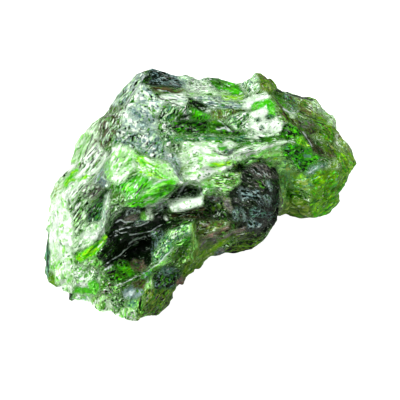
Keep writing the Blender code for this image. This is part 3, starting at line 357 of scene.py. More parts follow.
    "pink_edge": ([(-2.0, -7.0), (-1.3, -6.1), (-0.8, -6.3), (-1.5, -7.5)], 48, 2.0, {"rust": 0.75, "taupe": 0.40}),
    # The hollow is near-black: painted shade in the recess, over the stone's own deep green
    "hollow": ([
        (-7.3, -3.2), (-6.9, -2.2), (-6.1, -1.2), (-4.5, -1.0), (-3.6, -0.7), (-2.6, -1.5), (-2.1, -2.2),
        (-2.9, -2.9), (-3.8, -3.4), (-3.5, -4.2), (-3.8, -5.3), (-4.4, -5.9), (-5.4, -5.5), (-6.4, -5.1),
        (-7.2, -5.9), (-7.6, -5.7), (-8.2, -4.8), (-7.4, -3.7),
    ], 22, 5.0, {"black_and_shade": 0.97, "taupe": 0.20, "glint_highlight": 0.03, "pit": 0.00}),
    "hollow_left": ([
        (-8.1, -4.9), (-7.4, -4.0), (-6.9, -3.8), (-6.6, -4.3), (-7.0, -4.8), (-7.5, -5.0),
    ], 38, 3.0, {"black_and_shade": 0.80, "taupe": 0.35, "leaf": 0.30, "steel_reflection": 0.12}),
    "hollow_wall": ([(-3.95, -2.9), (-3.2, -2.55), (-2.8, -3.0), (-3.1, -3.8), (-3.7, -4.7), (-4.05, -4.4), (-3.8, -3.6)], 60, 1.6, {"steel_reflection": 0.64, "pearl_and_reflection": 0.16, "black_and_shade": 0.54, "leaf": 0.20}),
    "olive_bed": ([
        (-7.4, -6.6), (-7.4, -5.9), (-6.8, -5.3), (-5.9, -5.2), (-5.2, -5.5), (-5.1, -6.3), (-6.1, -6.8),
        (-7.0, -6.9),
    ], 30, 1.5, {"leaf": 0.66, "umber": 0.50, "black_and_shade": 0.42, "lime": 0.10, "shine_through_green": 0.34, "pit": 0.08}),
    "lime_specks": ([
        (-6.7, -5.4), (-6.2, -5.8), (-5.8, -5.4), (-5.3, -5.6), (-5.3, -6.1), (-5.6, -6.4), (-6.0, -6.1),
        (-6.5, -5.8),
    ], 20, 1.2, {"leaf": 0.55, "shine_through_green": 0.64, "lime": 0.40, "black_and_shade": 0.38, "pit": 0.04}),
    "brown_bed": ([
        (-5.6, -5.5), (-5.2, -5.1), (-4.4, -5.4), (-4.3, -5.8), (-4.8, -6.05), (-5.3, -6.0),
    ], -20, 1.5, {"rust": 0.55, "umber": 0.70, "taupe": 0.30}),
    "brown_pocket": ([(-5.4, -6.9), (-4.6, -6.6), (-4.2, -6.8), (-4.4, -7.5), (-5.2, -7.4)], 30, 1.5, {"umber": 0.75, "rust": 0.25, "moss": 0.30}),
    "ledge_brown": ([
        (-6.2, -2.1), (-5.8, -1.7), (-5.0, -1.45), (-4.9, -1.95), (-5.4, -2.1),
    ], 18, 2.0, {"rust": 0.40, "taupe": 0.78, "black_and_shade": 0.15}),
    "ledge_grey": ([(-5.4, -2.45), (-4.9, -1.95), (-4.3, -1.9), (-4.0, -2.1), (-4.8, -2.4)], 18, 2.0, {"steel_reflection": 0.60, "taupe": 0.45, "black_and_shade": 0.25}),
    "ledge_streaks": ([
        (-6.1, -1.5), (-5.8, -1.1), (-4.8, -1.0), (-4.6, -1.4), (-5.2, -1.4), (-5.8, -1.7),
    ], 40, 2.0, {"pearl_and_reflection": 0.64, "taupe": 0.50, "frost_and_highlight": 0.20, "black_and_shade": 0.38}),
    "grey_block": ([
        (-4.5, -0.95), (-3.6, -0.6), (-2.9, -0.3), (-2.5, -0.5), (-2.3, -1.0), (-2.9, -1.3), (-3.4, -1.4),
        (-4.0, -1.1),
    ], 28, 1.8, {"taupe": 0.80, "pearl_and_reflection": 0.54, "frost_and_highlight": 0.20, "black_and_shade": 0.26}),
    "pillar": ([(-4.3, -1.1), (-3.75, -1.0), (-3.7, -1.9), (-4.25, -2.0)], 85, 1.5, {"frost_and_highlight": 0.92, "snow_and_highlight": 0.50, "mint": 0.40}),
    "pillar_green": ([(-4.75, -1.35), (-4.3, -1.25), (-4.25, -1.95), (-4.7, -1.8)], 60, 1.2, {"shine_through_green": 0.60, "sage": 0.62, "mint": 0.56}),
    # The gaps above and below the bar are dark: painted shade over and under the ledge, the lower one over a brown of
    # its own
    "gap_above": ([(-2.7, -0.15), (-1.8, 0.4), (-1.45, 0.75), (-0.9, 0.6), (-0.3, 0.4), (-0.1, -0.05), (-0.9, -0.25), (-2.0, -0.3)], 30, 1.5, {"black_and_shade": 0.84, "leaf": 0.50, "frost_and_highlight": 0.25, "glint_highlight": 0.16, "pit": 0.10}),
    "gap_below": ([
        (-3.2, -1.55), (-2.2, -1.5), (-1.0, -1.2), (0.0, -1.0), (0.4, -0.7), (1.0, -0.9), (1.6, -1.2),
        (1.3, -2.0), (0.6, -1.9), (-0.6, -1.9), (-1.8, -1.85), (-2.6, -1.7),
    ], 8, 3.0, {"umber": 0.90, "rust": 0.24, "black_and_shade": 0.56, "frost_and_highlight": 0.05, "glint_highlight": 0.04}),
    "small_white": ([(-2.9, -1.75), (-2.6, -1.7), (-2.45, -2.05), (-2.8, -2.1)], 60, 1.0, {"snow_and_highlight": 0.80}),
    "bar": ([
        (-2.6, -0.35), (-1.6, -0.3), (-0.8, -0.28), (0.15, -0.05), (0.3, -0.5), (0.1, -0.85), (-0.8, -1.15),
        (-1.7, -1.4), (-2.1, -1.3), (-2.3, -0.9),
    ], 8, 1.3, {"snow_and_highlight": 0.86, "frost_and_highlight": 0.60, "mint": 0.26, "pearl_and_reflection": 0.30, "pit": 0.06}),
    "plate": ([
        (-0.45, -2.1), (-1.5, -2.4), (-2.4, -2.9), (-3.1, -3.5), (-3.3, -4.2), (-3.8, -4.7), (-3.7, -5.4),
        (-3.0, -5.2), (-2.3, -4.4), (-2.0, -3.7), (-1.4, -3.3), (-0.6, -3.1),
    ], 50, 1.6, {"teal": 0.76, "leaf": 0.68, "frost_and_highlight": 0.26, "mint": 0.24, "shine_through_green": 0.24, "pearl_and_reflection": 0.16, "black_and_shade": 0.24, "pit": 0.20}),
    "plate_dark": ([
        (-2.2, -4.1), (-1.7, -3.5), (-0.7, -3.25), (-0.6, -4.0), (-1.5, -4.1),
    ], 20, 2.0, {"leaf": 0.90, "shine_through_green": 0.30, "black_and_shade": 0.26, "mint": 0.10}),
    "plate_low": ([
        (-2.4, -4.9), (-1.9, -4.3), (-0.9, -4.1), (-0.6, -4.6), (-1.1, -5.5), (-1.9, -6.1), (-2.9, -5.8),
    ], 50, 1.4, {"leaf": 0.74, "olive": 0.45, "mint": 0.20, "moss": 0.44, "umber": 0.25, "black_and_shade": 0.30, "frost_and_highlight": 0.10, "pit": 0.16}),
    "dark_rings": ([
        (-3.8, -6.2), (-2.9, -5.7), (-2.0, -5.5), (-1.5, -6.2), (-2.1, -7.4), (-3.5, -7.5),
    ], 40, 1.2, {"black_and_shade": 0.66, "leaf": 0.50, "steel_reflection": 0.36}),
    "ring_blue": ([(-3.2, -6.0), (-2.8, -5.7), (-2.1, -5.8), (-2.2, -6.2), (-2.7, -6.4)], 10, 1.3, {"steel_reflection": 0.70, "teal": 0.45, "black_and_shade": 0.20}),
    "ridge_bright": ([
        (-4.2, -6.25), (-3.6, -5.65), (-3.0, -5.25), (-2.3, -4.9), (-2.2, -5.2), (-3.0, -5.7), (-3.4, -6.1),
    ], 35, 3.0, {"mint": 0.44, "lime": 0.26, "frost_and_highlight": 0.12, "leaf": 0.60, "shine_through_green": 0.28, "black_and_shade": 0.14}),
    "pale_drip": ([(-4.2, -6.3), (-3.7, -6.2), (-3.8, -7.4), (-4.25, -7.5)], 85, 2.0, {"mint": 0.75, "sage": 0.50, "frost_and_highlight": 0.30}),
    "plate_side": ([
        (-0.6, -2.2), (-0.3, -2.2), (0.0, -3.2), (0.0, -4.6), (-0.4, -5.3), (-0.9, -5.2), (-0.7, -4.0),
    ], 85, 4.0, {"sage": 0.84, "olive": 0.30, "mint": 0.36, "teal": 0.16}),
    "side_foot": ([
        (-1.3, -5.5), (-0.8, -5.2), (0.0, -5.1), (0.1, -5.7), (-0.8, -6.5), (-1.5, -6.7),
    ], 55, 3.0, {"moss": 0.64, "olive": 0.44, "sage": 0.14, "leaf": 0.30, "black_and_shade": 0.20}),
    "stripes": ([
        (0.2, 1.2), (1.2, 1.6), (2.0, 1.8), (3.2, 1.6), (3.6, 1.0), (3.1, 0.4), (2.0, 0.2), (1.2, 0.2),
        (0.2, 0.5),
    ], -5, 5.0, {"moss": 0.56, "mint": 0.54, "frost_and_highlight": 0.30, "leaf": 0.50, "umber": 0.32, "lime": 0.24, "black_and_shade": 0.14}),
    "green_corner": ([(0.0, 1.0), (0.9, 1.0), (1.3, 0.4), (0.9, 0.0), (0.2, 0.05)], 40, 1.3, {"shine_through_green": 0.84, "mint": 0.56, "leaf": 0.20, "frost_and_highlight": 0.46}),
    # The cavity is near-black: painted shade inside it, over a brown of its own
    "cavity": ([
        (0.3, -0.3), (1.0, -0.2), (1.6, -0.1), (2.0, -0.8), (2.4, -1.3), (2.5, -2.0), (1.2, -2.1),
        (0.7, -1.3), (0.3, -0.8),
    ], 60, 1.5, {"black_and_shade": 0.84, "umber": 0.50, "leaf": 0.35, "rust": 0.12, "glint_highlight": 0.10}),
    "cavity_top": ([(0.35, 0.0), (1.7, -0.1), (1.6, -0.55), (0.9, -0.6)], 0, 2.0, {"taupe": 0.64, "umber": 0.36, "pearl_and_reflection": 0.26, "rust": 0.20, "black_and_shade": 0.26}),
    "cavity_speck": ([(1.3, -0.7), (1.6, -0.7), (1.6, -1.1), (1.35, -1.1)], 60, 1.0, {"sage": 0.80, "mint": 0.40}),
    "cavity_lime": ([(0.9, -0.9), (1.2, -0.9), (1.15, -1.3), (0.95, -1.3)], 60, 1.0, {"lime": 0.60, "moss": 0.60}),
    "knob_seam": ([
        (2.4, 2.2), (3.2, 2.6), (4.0, 2.8), (5.1, 2.95), (5.2, 2.6), (4.3, 2.4), (3.6, 1.9), (2.8, 1.9),
    ], 20, 2.0, {"black_and_shade": 0.76, "leaf": 0.50, "frost_and_highlight": 0.20, "sage": 0.20}),
    # The knob is dark brown-black: its own colour, with painted shade on its side turned from the light
    "knob": ([
        (2.3, 0.3), (3.2, 1.0), (3.3, 2.0), (4.2, 2.5), (5.4, 2.6), (6.3, 1.8), (6.5, 0.5), (6.4, -1.5),
        (5.9, -2.5), (5.0, -3.1), (4.0, -3.0), (2.8, -2.7), (2.2, -2.0), (2.2, -0.9),
    ], -35, 1.6, {"black_and_shade": 0.78, "umber": 0.42, "teal": 0.26, "taupe": 0.25, "pit": 0.0}),
    "knob_top": ([
        (3.7, 2.0), (4.4, 2.45), (5.3, 2.4), (6.0, 1.8), (6.3, 1.3), (5.6, 1.25), (4.9, 1.3), (4.3, 1.5),
    ], -38, 2.5, {"taupe": 0.62, "umber": 0.55, "black_and_shade": 0.42, "pearl_and_reflection": 0.10, "pit": 0.0}),
    "knob_brow": ([(4.1, 1.3), (5.0, 1.25), (5.7, 1.2), (5.3, 0.5), (4.6, 0.4), (4.2, 0.8)], -30, 1.5, {"umber": 0.55, "taupe": 0.35, "black_and_shade": 0.70}),
    "knob_grey": ([
        (2.95, 0.35), (3.2, 0.65), (3.5, 0.35), (3.75, 0.6), (3.95, 0.3), (4.6, 0.35), (4.8, -0.1),
        (5.0, -0.5), (4.95, -0.85), (4.75, -0.9), (4.6, -0.5), (4.0, -0.3), (3.4, -0.5), (3.05, 0.0),
    ], -25, 1.5, {"steel_reflection": 0.70, "taupe": 0.25, "pearl_and_reflection": 0.26, "black_and_shade": 0.50, "pit": 0.00}),
    "knob_light_a": ([(5.2, 1.1), (5.45, 1.1), (5.5, 0.8), (5.8, 0.9), (5.75, 0.3), (5.55, 0.2), (5.3, 0.7)], -70, 1.3, {"steel_reflection": 0.60, "pearl_and_reflection": 0.70, "black_and_shade": 0.26}),
    "knob_light_b": ([(5.0, -0.1), (5.4, 0.05), (5.65, -0.1), (5.65, -0.6), (5.5, -1.1), (5.25, -0.9)], -70, 1.3, {"steel_reflection": 0.74, "pearl_and_reflection": 0.44, "black_and_shade": 0.40}),
    "knob_black": ([
        (5.9, 1.15), (6.3, 1.2), (6.4, 0.0), (6.25, -0.9), (5.8, -1.0), (5.75, -0.2),
    ], 88, 2.5, {"black_and_shade": 0.80, "leaf": 0.45, "teal": 0.30, "pit": 0.00}),
    "knob_rim": ([
        (6.3, 1.4), (6.7, 1.2), (6.8, -0.5), (6.6, -1.6), (6.2, -1.8), (6.3, -0.9), (6.4, 0.2),
    ], 88, 3.0, {"taupe": 0.60, "sage": 0.66, "teal": 0.45, "mint": 0.16, "pit": 0.06}),
    "knob_teal": ([
        (3.9, -1.1), (4.3, -0.9), (4.9, -1.0), (5.2, -1.3), (5.6, -1.4), (5.9, -1.7), (5.6, -1.95),
        (5.2, -1.8), (4.5, -1.75), (4.2, -1.95), (4.0, -1.6), (3.8, -1.4),
    ], 10, 1.5, {"teal": 0.56, "steel_reflection": 0.60, "black_and_shade": 0.52, "pit": 0.00}),
    "knob_low": ([
        (3.55, -1.9), (4.0, -1.8), (4.4, -2.0), (4.7, -2.2), (4.9, -2.1), (5.0, -2.4), (4.7, -2.6),
        (4.2, -2.7), (3.9, -2.85), (3.7, -2.4),
    ], -50, 1.5, {"steel_reflection": 0.70, "pearl_and_reflection": 0.32, "black_and_shade": 0.52, "pit": 0.00}),
    "knob_flank": ([
        (2.5, -1.3), (2.9, -1.0), (3.3, -0.9), (3.1, -1.3), (3.0, -1.7), (3.2, -2.0), (2.9, -2.1), (2.6, -1.8),
    ], -70, 1.8, {"steel_reflection": 0.72, "pearl_and_reflection": 0.34, "black_and_shade": 0.44}),
    "knob_dash": ([(3.35, -1.1), (3.5, -1.2), (3.6, -2.0), (3.45, -2.1)], -80, 1.8, {"steel_reflection": 0.80, "pearl_and_reflection": 0.55}),
    "beige_patch": ([
        (1.85, -0.2), (2.1, -0.15), (2.3, -0.5), (2.5, -1.0), (2.55, -1.35), (2.3, -1.35), (2.0, -1.0), (1.8, -0.6),
    ], -60, 1.5, {"taupe": 0.90, "sage": 0.60, "pit": 0.0}),
    "brown_texture": ([
        (-0.4, -2.1), (0.5, -1.95), (1.6, -2.1), (2.6, -2.05), (2.0, -2.5), (1.0, -2.95), (0.2, -3.3),
        (-0.3, -3.2),
    ], 25, 1.4, {"umber": 0.44, "olive": 0.55, "moss": 0.40, "sage": 0.60, "black_and_shade": 0.18, "rust": 0.24, "frost_and_highlight": 0.22}),
    "pink_band": ([
        (0.0, -3.45), (0.9, -3.1), (1.8, -2.7), (2.6, -2.1), (2.75, -2.3), (2.3, -2.8), (1.4, -3.2), (0.5, -3.6),
    ], 28, 3.0, {"rust": 0.94, "taupe": 0.40, "sage": 0.20, "pit": 0.00}),
    "pink_band_low": ([
        (1.4, -3.45), (2.3, -3.15), (3.0, -2.8), (3.6, -2.5), (3.6, -2.8), (2.6, -3.2), (1.7, -3.6),
    ], 24, 3.0, {"rust": 0.75, "taupe": 0.60, "sage": 0.20, "pit": 0.0}),
    "brown_lens": ([(1.2, -3.15), (1.9, -2.8), (2.5, -2.65), (2.3, -3.0), (1.5, -3.25)], 20, 2.0, {"umber": 0.92, "black_and_shade": 0.45, "rust": 0.15}),
    "dark_wedge": ([(2.4, -2.15), (3.3, -2.0), (3.1, -2.3), (2.8, -2.75), (2.3, -2.75)], 50, 2.0, {"umber": 0.80, "black_and_shade": 0.66}),
    "brown_foot": ([(-0.1, -3.45), (0.7, -3.35), (0.6, -3.6), (-0.1, -3.7)], 10, 2.0, {"umber": 0.90, "black_and_shade": 0.35}),
    "skirt_grey": ([(0.0, -3.5), (1.2, -3.4), (1.5, -3.7), (0.6, -4.3), (0.0, -4.5)], 25, 3.0, {"taupe": 0.60, "olive": 0.45, "moss": 0.40, "sage": 0.20, "pit": 0.05}),
    "skirt_streaks": ([
        (2.2, -3.4), (3.0, -3.0), (4.2, -2.9), (5.1, -3.0), (4.7, -3.6), (3.2, -3.6),
    ], 8, 5.0, {"olive": 0.50, "moss": 0.26, "taupe": 0.30, "black_and_shade": 0.46, "sage": 0.16, "pit": 0.04}),
    "skirt_dark": ([
        (1.9, -4.3), (3.0, -3.6), (4.3, -3.55), (5.2, -3.4), (4.3, -4.5), (3.4, -4.7), (1.8, -4.8),
    ], 10, 4.0, {"moss": 0.60, "leaf": 0.62, "olive": 0.30, "black_and_shade": 0.42, "sage": 0.12, "pit": 0.00}),
    "skirt_light": ([
        (-0.1, -5.7), (0.0, -4.6), (0.7, -4.3), (1.4, -3.7), (2.4, -3.3), (2.2, -3.7), (1.5, -4.2),
        (0.9, -4.9), (0.4, -5.4),
    ], 38, 4.0, {"moss": 0.88, "sage": 0.24, "leaf": 0.34, "pit": 0.03}),
    "skirt_shade": ([(0.9, -5.0), (1.5, -4.2), (2.0, -4.2), (1.9, -4.8)], 40, 3.0, {"taupe": 0.70, "steel_reflection": 0.25, "olive": 0.40, "pit": 0.05}),
    "peak_pale": ([
        (2.9, 9.2), (3.9, 9.7), (4.6, 9.9), (4.75, 9.1), (4.7, 8.4), (4.3, 8.1), (3.6, 8.0), (3.4, 8.5),
    ], 70, 1.3, {"pearl_and_reflection": 0.52, "sage": 0.50, "frost_and_highlight": 0.44, "teal": 0.42, "leaf": 0.30, "snow_and_highlight": 0.20, "black_and_shade": 0.12, "pit": 0.14}),
    "peak_dark": ([
        (4.5, 9.9), (5.7, 9.8), (6.2, 9.1), (6.2, 8.3), (5.6, 8.2), (5.0, 8.25), (4.75, 8.5), (4.75, 9.1),
    ], -50, 1.5, {"leaf": 0.70, "olive": 0.45, "moss": 0.40, "umber": 0.30, "sage": 0.15}),
    "white_arch": ([
        (3.4, 7.6), (3.8, 7.8), (4.3, 8.0), (5.1, 8.2), (5.6, 7.9), (5.4, 7.6), (4.7, 7.5), (4.2, 7.3),
        (3.9, 6.8), (3.5, 7.0),
    ], 20, 1.5, {"snow_and_highlight": 0.80, "frost_and_highlight": 0.50, "mint": 0.24, "pit": 0.08}),
    "bright_bowl": ([
        (4.0, 7.1), (4.4, 7.45), (5.0, 7.55), (5.5, 7.7), (6.0, 7.2), (6.0, 6.3), (5.6, 6.2), (5.3, 6.6),
        (4.9, 6.9), (4.4, 6.6), (4.1, 6.8),
    ], 60, 1.5, {"shine_through_green": 0.92, "leaf": 0.36, "mint": 0.22, "pit": 0.20}),
    "snow_patch": ([
        (4.0, 6.5), (4.6, 6.7), (5.2, 7.0), (5.4, 6.6), (5.1, 6.2), (5.7, 6.0), (5.4, 5.5), (5.3, 5.0),
        (4.5, 5.0), (3.9, 5.4),
    ], 45, 1.3, {"snow_and_highlight": 0.86, "frost_and_highlight": 0.50, "mint": 0.24, "teal": 0.24, "pit": 0.06}),
    "snow_hole_a": ([(4.2, 6.05), (4.7, 6.2), (4.95, 5.95), (4.6, 5.7)], 30, 1.2, {"leaf": 0.70, "teal": 0.60, "black_and_shade": 0.34}),
    "snow_hole_b": ([(4.75, 5.5), (5.05, 5.55), (5.1, 5.1), (4.75, 5.15)], 60, 1.2, {"teal": 0.55, "black_and_shade": 0.50}),
    "snow_hole_c": ([(5.2, 6.35), (5.8, 6.35), (5.8, 6.0), (5.3, 5.95)], 30, 1.2, {"teal": 0.66, "black_and_shade": 0.48}),
    "snow_right": ([
        (5.5, 5.6), (6.0, 6.25), (6.3, 5.95), (6.7, 5.5), (6.5, 5.1), (5.8, 4.8), (5.4, 5.1),
    ], 30, 1.3, {"snow_and_highlight": 0.80, "frost_and_highlight": 0.40, "mint": 0.24, "leaf": 0.30, "teal": 0.20, "pit": 0.10}),
    "snow_foot": ([
        (3.8, 4.6), (4.0, 5.1), (5.2, 5.0), (6.0, 4.9), (5.6, 4.6), (4.8, 4.35),
    ], 15, 1.8, {"frost_and_highlight": 0.72, "pearl_and_reflection": 0.40, "snow_and_highlight": 0.25, "leaf": 0.25, "teal": 0.28}),
    "dark_crack": ([
        (3.0, 3.95), (3.6, 4.3), (4.4, 4.35), (5.2, 4.65), (6.3, 4.5), (6.9, 4.75), (6.4, 4.1), (5.0, 4.0),
        (4.0, 3.95),
    ], 10, 4.0, {"leaf": 0.92, "black_and_shade": 0.30, "shine_through_green": 0.30, "glint_highlight": 0.10}),
    "white_band": ([
        (2.7, 3.3), (3.6, 3.85), (4.6, 4.0), (5.6, 4.05), (6.4, 4.3), (7.2, 4.25), (6.2, 3.95), (5.2, 3.55),
        (4.2, 3.2), (3.4, 2.8), (2.7, 2.7),
    ], 15, 3.0, {"frost_and_highlight": 0.74, "snow_and_highlight": 0.50, "mint": 0.52, "leaf": 0.38, "shine_through_green": 0.24, "pit": 0.14}),
    "band_shade": ([
        (3.2, 2.6), (4.2, 3.15), (5.2, 3.55), (6.3, 3.95), (6.6, 3.6), (5.6, 3.45), (4.9, 3.2), (4.4, 2.7),
        (3.6, 2.4),
    ], 22, 4.0, {"leaf": 0.70, "shine_through_green": 0.76, "moss": 0.36, "mint": 0.50, "frost_and_highlight": 0.20}),
    "pale_saddle": ([
        (5.0, 3.2), (5.8, 3.45), (6.5, 3.4), (6.5, 2.9), (5.9, 2.6), (5.6, 2.2), (5.1, 2.7),
    ], 20, 1.4, {"sage": 0.70, "mint": 0.92, "lime": 0.50, "shine_through_green": 0.30, "frost_and_highlight": 0.20, "pit": 0.00}),
    "teal_facet": ([
        (5.9, 2.2), (6.4, 2.8), (7.0, 2.75), (7.6, 2.3), (7.3, 1.9), (6.8, 1.6), (6.2, 1.8),
    ], 20, 1.3, {"teal": 0.80, "leaf": 0.14, "sage": 0.55, "mint": 0.50, "pit": 0.04}),
    "middle_green": ([
        (6.5, 3.6), (7.0, 4.1), (7.8, 4.0), (8.9, 3.6), (9.0, 3.2), (10.0, 3.1), (9.2, 2.6), (8.3, 1.8),
        (7.6, 2.2), (7.2, 2.9), (6.6, 3.1),
    ], -15, 1.5, {"leaf": 0.88, "shine_through_green": 0.54, "moss": 0.26, "black_and_shade": 0.20, "teal": 0.18, "pit": 0.12}),
    "upper_green": ([
        (6.6, 5.4), (7.4, 5.8), (8.2, 5.4), (8.1, 4.8), (7.6, 4.5), (6.9, 4.3), (6.3, 4.6),
    ], -45, 1.5, {"leaf": 0.88, "black_and_shade": 0.40, "shine_through_green": 0.30}),
    "lime_spots": ([
        (7.6, 4.6), (8.2, 4.75), (8.7, 4.1), (9.0, 3.6), (8.4, 3.8), (7.8, 4.0),
    ], -50, 2.0, {"shine_through_green": 0.86, "lime": 0.52}),
    "ridge_olive": ([
        (5.6, 8.2), (6.1, 7.5), (6.2, 6.7), (6.8, 5.9), (7.6, 5.4), (8.2, 4.9), (8.4, 5.4), (7.7, 6.0),
        (7.2, 6.2), (6.8, 6.9), (6.2, 7.6),
    ], -55, 4.0, {"moss": 0.55, "leaf": 0.62, "umber": 0.52, "black_and_shade": 0.28, "sage": 0.10}),
    "ridge_green": ([(5.9, 8.2), (6.5, 8.0), (7.0, 7.1), (6.9, 6.8), (6.4, 7.2)], -55, 2.0, {"shine_through_green": 0.36, "leaf": 0.78, "moss": 0.50, "umber": 0.16}),
    "far_pale": ([
        (6.3, 8.4), (7.4, 8.1), (7.8, 7.6), (7.9, 6.7), (7.4, 6.5), (6.9, 6.9), (7.0, 7.2),
    ], -60, 1.5, {"pearl_and_reflection": 0.10, "mint": 0.10, "steel_reflection": 0.26, "sage": 0.36, "teal": 0.42, "leaf": 0.62, "umber": 0.40, "olive": 0.20, "pit": 0.20}),
    "far_olive": ([
        (7.7, 8.0), (9.1, 7.7), (9.4, 7.3), (9.8, 6.8), (10.2, 6.3), (9.5, 6.1), (8.8, 6.2), (8.0, 6.7),
    ], -30, 2.0, {"olive": 0.54, "umber": 0.40, "sage": 0.60, "leaf": 0.46, "moss": 0.40, "frost_and_highlight": 0.16}),
    "far_sage": ([
        (8.9, 7.8), (9.6, 7.4), (10.2, 6.9), (11.1, 6.3), (11.1, 5.4), (10.2, 5.7), (10.4, 6.2),
        (9.9, 6.6), (9.2, 6.8),
    ], -35, 1.6, {"sage": 0.74, "moss": 0.44, "frost_and_highlight": 0.66, "mint": 0.46, "black_and_shade": 0.12, "pit": 0.06}),
    "far_white": ([(7.1, 6.6), (7.7, 6.45), (7.5, 6.1), (7.2, 6.1)], -50, 1.2, {"frost_and_highlight": 0.80, "sage": 0.30}),
    "violet_plate": ([
        (7.6, 6.1), (8.9, 6.0), (9.4, 5.6), (9.2, 5.2), (8.4, 5.3), (8.0, 5.6),
    ], -25, 1.5, {"umber": 0.60, "taupe": 0.44, "moss": 0.30, "steel_reflection": 0.20, "leaf": 0.34, "black_and_shade": 0.16}),
    "dark_olive": ([(8.3, 5.4), (9.4, 5.5), (9.8, 5.0), (9.4, 4.75), (8.6, 4.85)], -25, 2.0, {"umber": 0.70, "black_and_shade": 0.40, "moss": 0.30}),
    "right_olive": ([
        (8.9, 6.3), (10.4, 6.3), (10.3, 5.8), (11.1, 5.4), (11.2, 4.8), (10.7, 4.1), (10.0, 4.4),
        (9.6, 4.9), (9.7, 5.5), (9.1, 5.9),
    ], -30, 1.6, {"moss": 0.84, "leaf": 0.56, "olive": 0.24, "umber": 0.26, "shine_through_green": 0.24, "black_and_shade": 0.12, "pit": 0.14}),
    "right_specks": ([(8.6, 4.85), (9.5, 4.9), (10.0, 4.3), (9.2, 4.4)], -40, 1.3, {"sage": 0.50, "frost_and_highlight": 0.25, "leaf": 0.45, "moss": 0.40}),
    "right_rim": ([
        (10.8, 5.2), (11.6, 4.9), (12.3, 4.2), (12.2, 3.5), (11.4, 3.4), (10.9, 4.1),
    ], -50, 1.5, {"sage": 0.62, "moss": 0.52, "frost_and_highlight": 0.26, "rust": 0.16, "leaf": 0.25, "pit": 0.12}),
    "brown_shadow": ([
        (8.2, 5.0), (8.6, 4.8), (9.3, 4.0), (9.8, 3.7), (10.1, 3.1), (9.4, 3.1), (8.9, 3.6), (8.5, 4.3),
    ], -50, 2.0, {"umber": 0.90, "black_and_shade": 0.45, "rust": 0.12}),
    "right_mix": ([
        (9.7, 4.1), (10.6, 4.2), (11.1, 3.7), (11.2, 2.9), (10.3, 2.9), (10.0, 3.4),
    ], -50, 2.0, {"sage": 0.24, "umber": 0.45, "moss": 0.78, "rust": 0.10, "leaf": 0.40, "black_and_shade": 0.12, "pit": 0.18}),
    "right_tip": ([
        (11.0, 3.4), (12.1, 3.5), (12.7, 2.8), (12.7, 2.0), (12.0, 1.6), (11.3, 1.9), (10.9, 2.7),
    ], -55, 2.0, {"moss": 0.76, "olive": 0.24, "sage": 0.50, "shine_through_green": 0.24, "lime": 0.24}),
    "lobe_light": ([
        (10.0, 2.6), (10.9, 2.8), (11.4, 2.3), (11.2, 1.9), (10.3, 2.0), (9.7, 1.9),
    ], 30, 2.0, {"frost_and_highlight": 0.30, "sage": 0.50, "moss": 0.66}),
    "teal_blade": ([
        (8.3, 1.6), (9.0, 2.35), (10.0, 2.65), (10.4, 2.5), (9.6, 2.1), (8.9, 1.7),
    ], 32, 5.0, {"teal": 0.80, "pearl_and_reflection": 0.26, "leaf": 0.38}),
    "lobe": ([
        (8.8, 1.6), (9.6, 2.0), (10.4, 2.1), (11.3, 2.0), (12.0, 1.6), (11.7, 0.7), (11.5, -0.4),
        (10.9, -0.8), (10.0, -0.3), (9.4, 0.2), (8.9, 0.8),
    ], 35, 2.5, {"moss": 0.94, "shine_through_green": 0.28, "leaf": 0.44, "lime": 0.14, "pit": 0.06}),
    "lobe_foot": ([
        (8.9, -0.2), (10.0, -0.2), (11.2, -0.7), (10.7, -1.6), (9.8, -2.1), (9.0, -2.0), (8.7, -1.0),
    ], 35, 2.5, {"moss": 0.93, "sage": 0.14, "lime": 0.22, "shine_through_green": 0.30, "leaf": 0.26}),
    "lobe_spark": ([(9.2, -1.25), (9.35, -0.75), (9.6, -0.8), (9.5, -1.3)], 70, 1.3, {"lime": 0.92, "shine_through_green": 0.80}),
    "lobe_left": ([
        (6.8, 1.7), (7.6, 1.9), (8.3, 1.7), (8.8, 1.5), (9.0, 0.7), (8.6, 0.3), (8.0, 0.5), (7.2, 0.5),
        (6.8, 1.0),
    ], 0, 1.5, {"sage": 0.50, "teal": 0.50, "leaf": 0.44, "moss": 0.46, "mint": 0.14, "pit": 0.10}),
    "seam_light": ([(6.3, 1.6), (6.9, 1.9), (7.3, 1.0), (7.1, -0.2), (6.7, -0.7), (6.5, 0.4)], 80, 1.6, {"sage": 0.80, "teal": 0.60, "mint": 0.36, "leaf": 0.20}),
    "lobe_spot": ([(7.8, 1.5), (8.2, 1.65), (8.2, 1.35), (7.85, 1.35)], 10, 1.5, {"lime": 0.86, "shine_through_green": 0.60}),
    "lobe_dark": ([
        (6.85, 0.6), (7.9, 0.45), (8.3, 0.0), (8.2, -0.4), (7.0, -0.45), (6.8, 0.0),
    ], 0, 3.0, {"leaf": 0.84, "black_and_shade": 0.36, "moss": 0.40}),
    "lobe_smooth": ([
        (6.4, -1.6), (6.8, -0.5), (8.5, -0.4), (9.0, -1.3), (9.1, -2.1), (8.0, -2.0), (7.0, -1.7),
    ], 5, 4.0, {"moss": 0.75, "olive": 0.66, "sage": 0.36, "pit": 0.05}),
}

# Panes whose flecks are larger than elsewhere, and how many times
COARSE_PANES = {
    "great_face": 1.8, "great_face_white": 1.6, "face_foot": 1.4, "face_right": 1.4, "snow_face": 1.5,
    "snow_face_foot": 1.6, "wedge_under": 1.4, "knob_grey": 1.6, "knob_teal": 1.5, "knob_low": 1.5,
    "lobe": 1.3, "lobe_foot": 1.4, "middle_green": 1.5, "teal_pale": 1.3, "snow_patch": 1.5,
    "blue_patch": 1.8, "teal_facet": 1.6, "pale_saddle": 1.6, "lobe_left": 1.4, "skirt_dark": 1.6,
    "skirt_grey": 1.8, "lobe_smooth": 1.8, "foot_lobe": 1.5, "low_lobe": 1.3, "broad_white": 1.3,
}

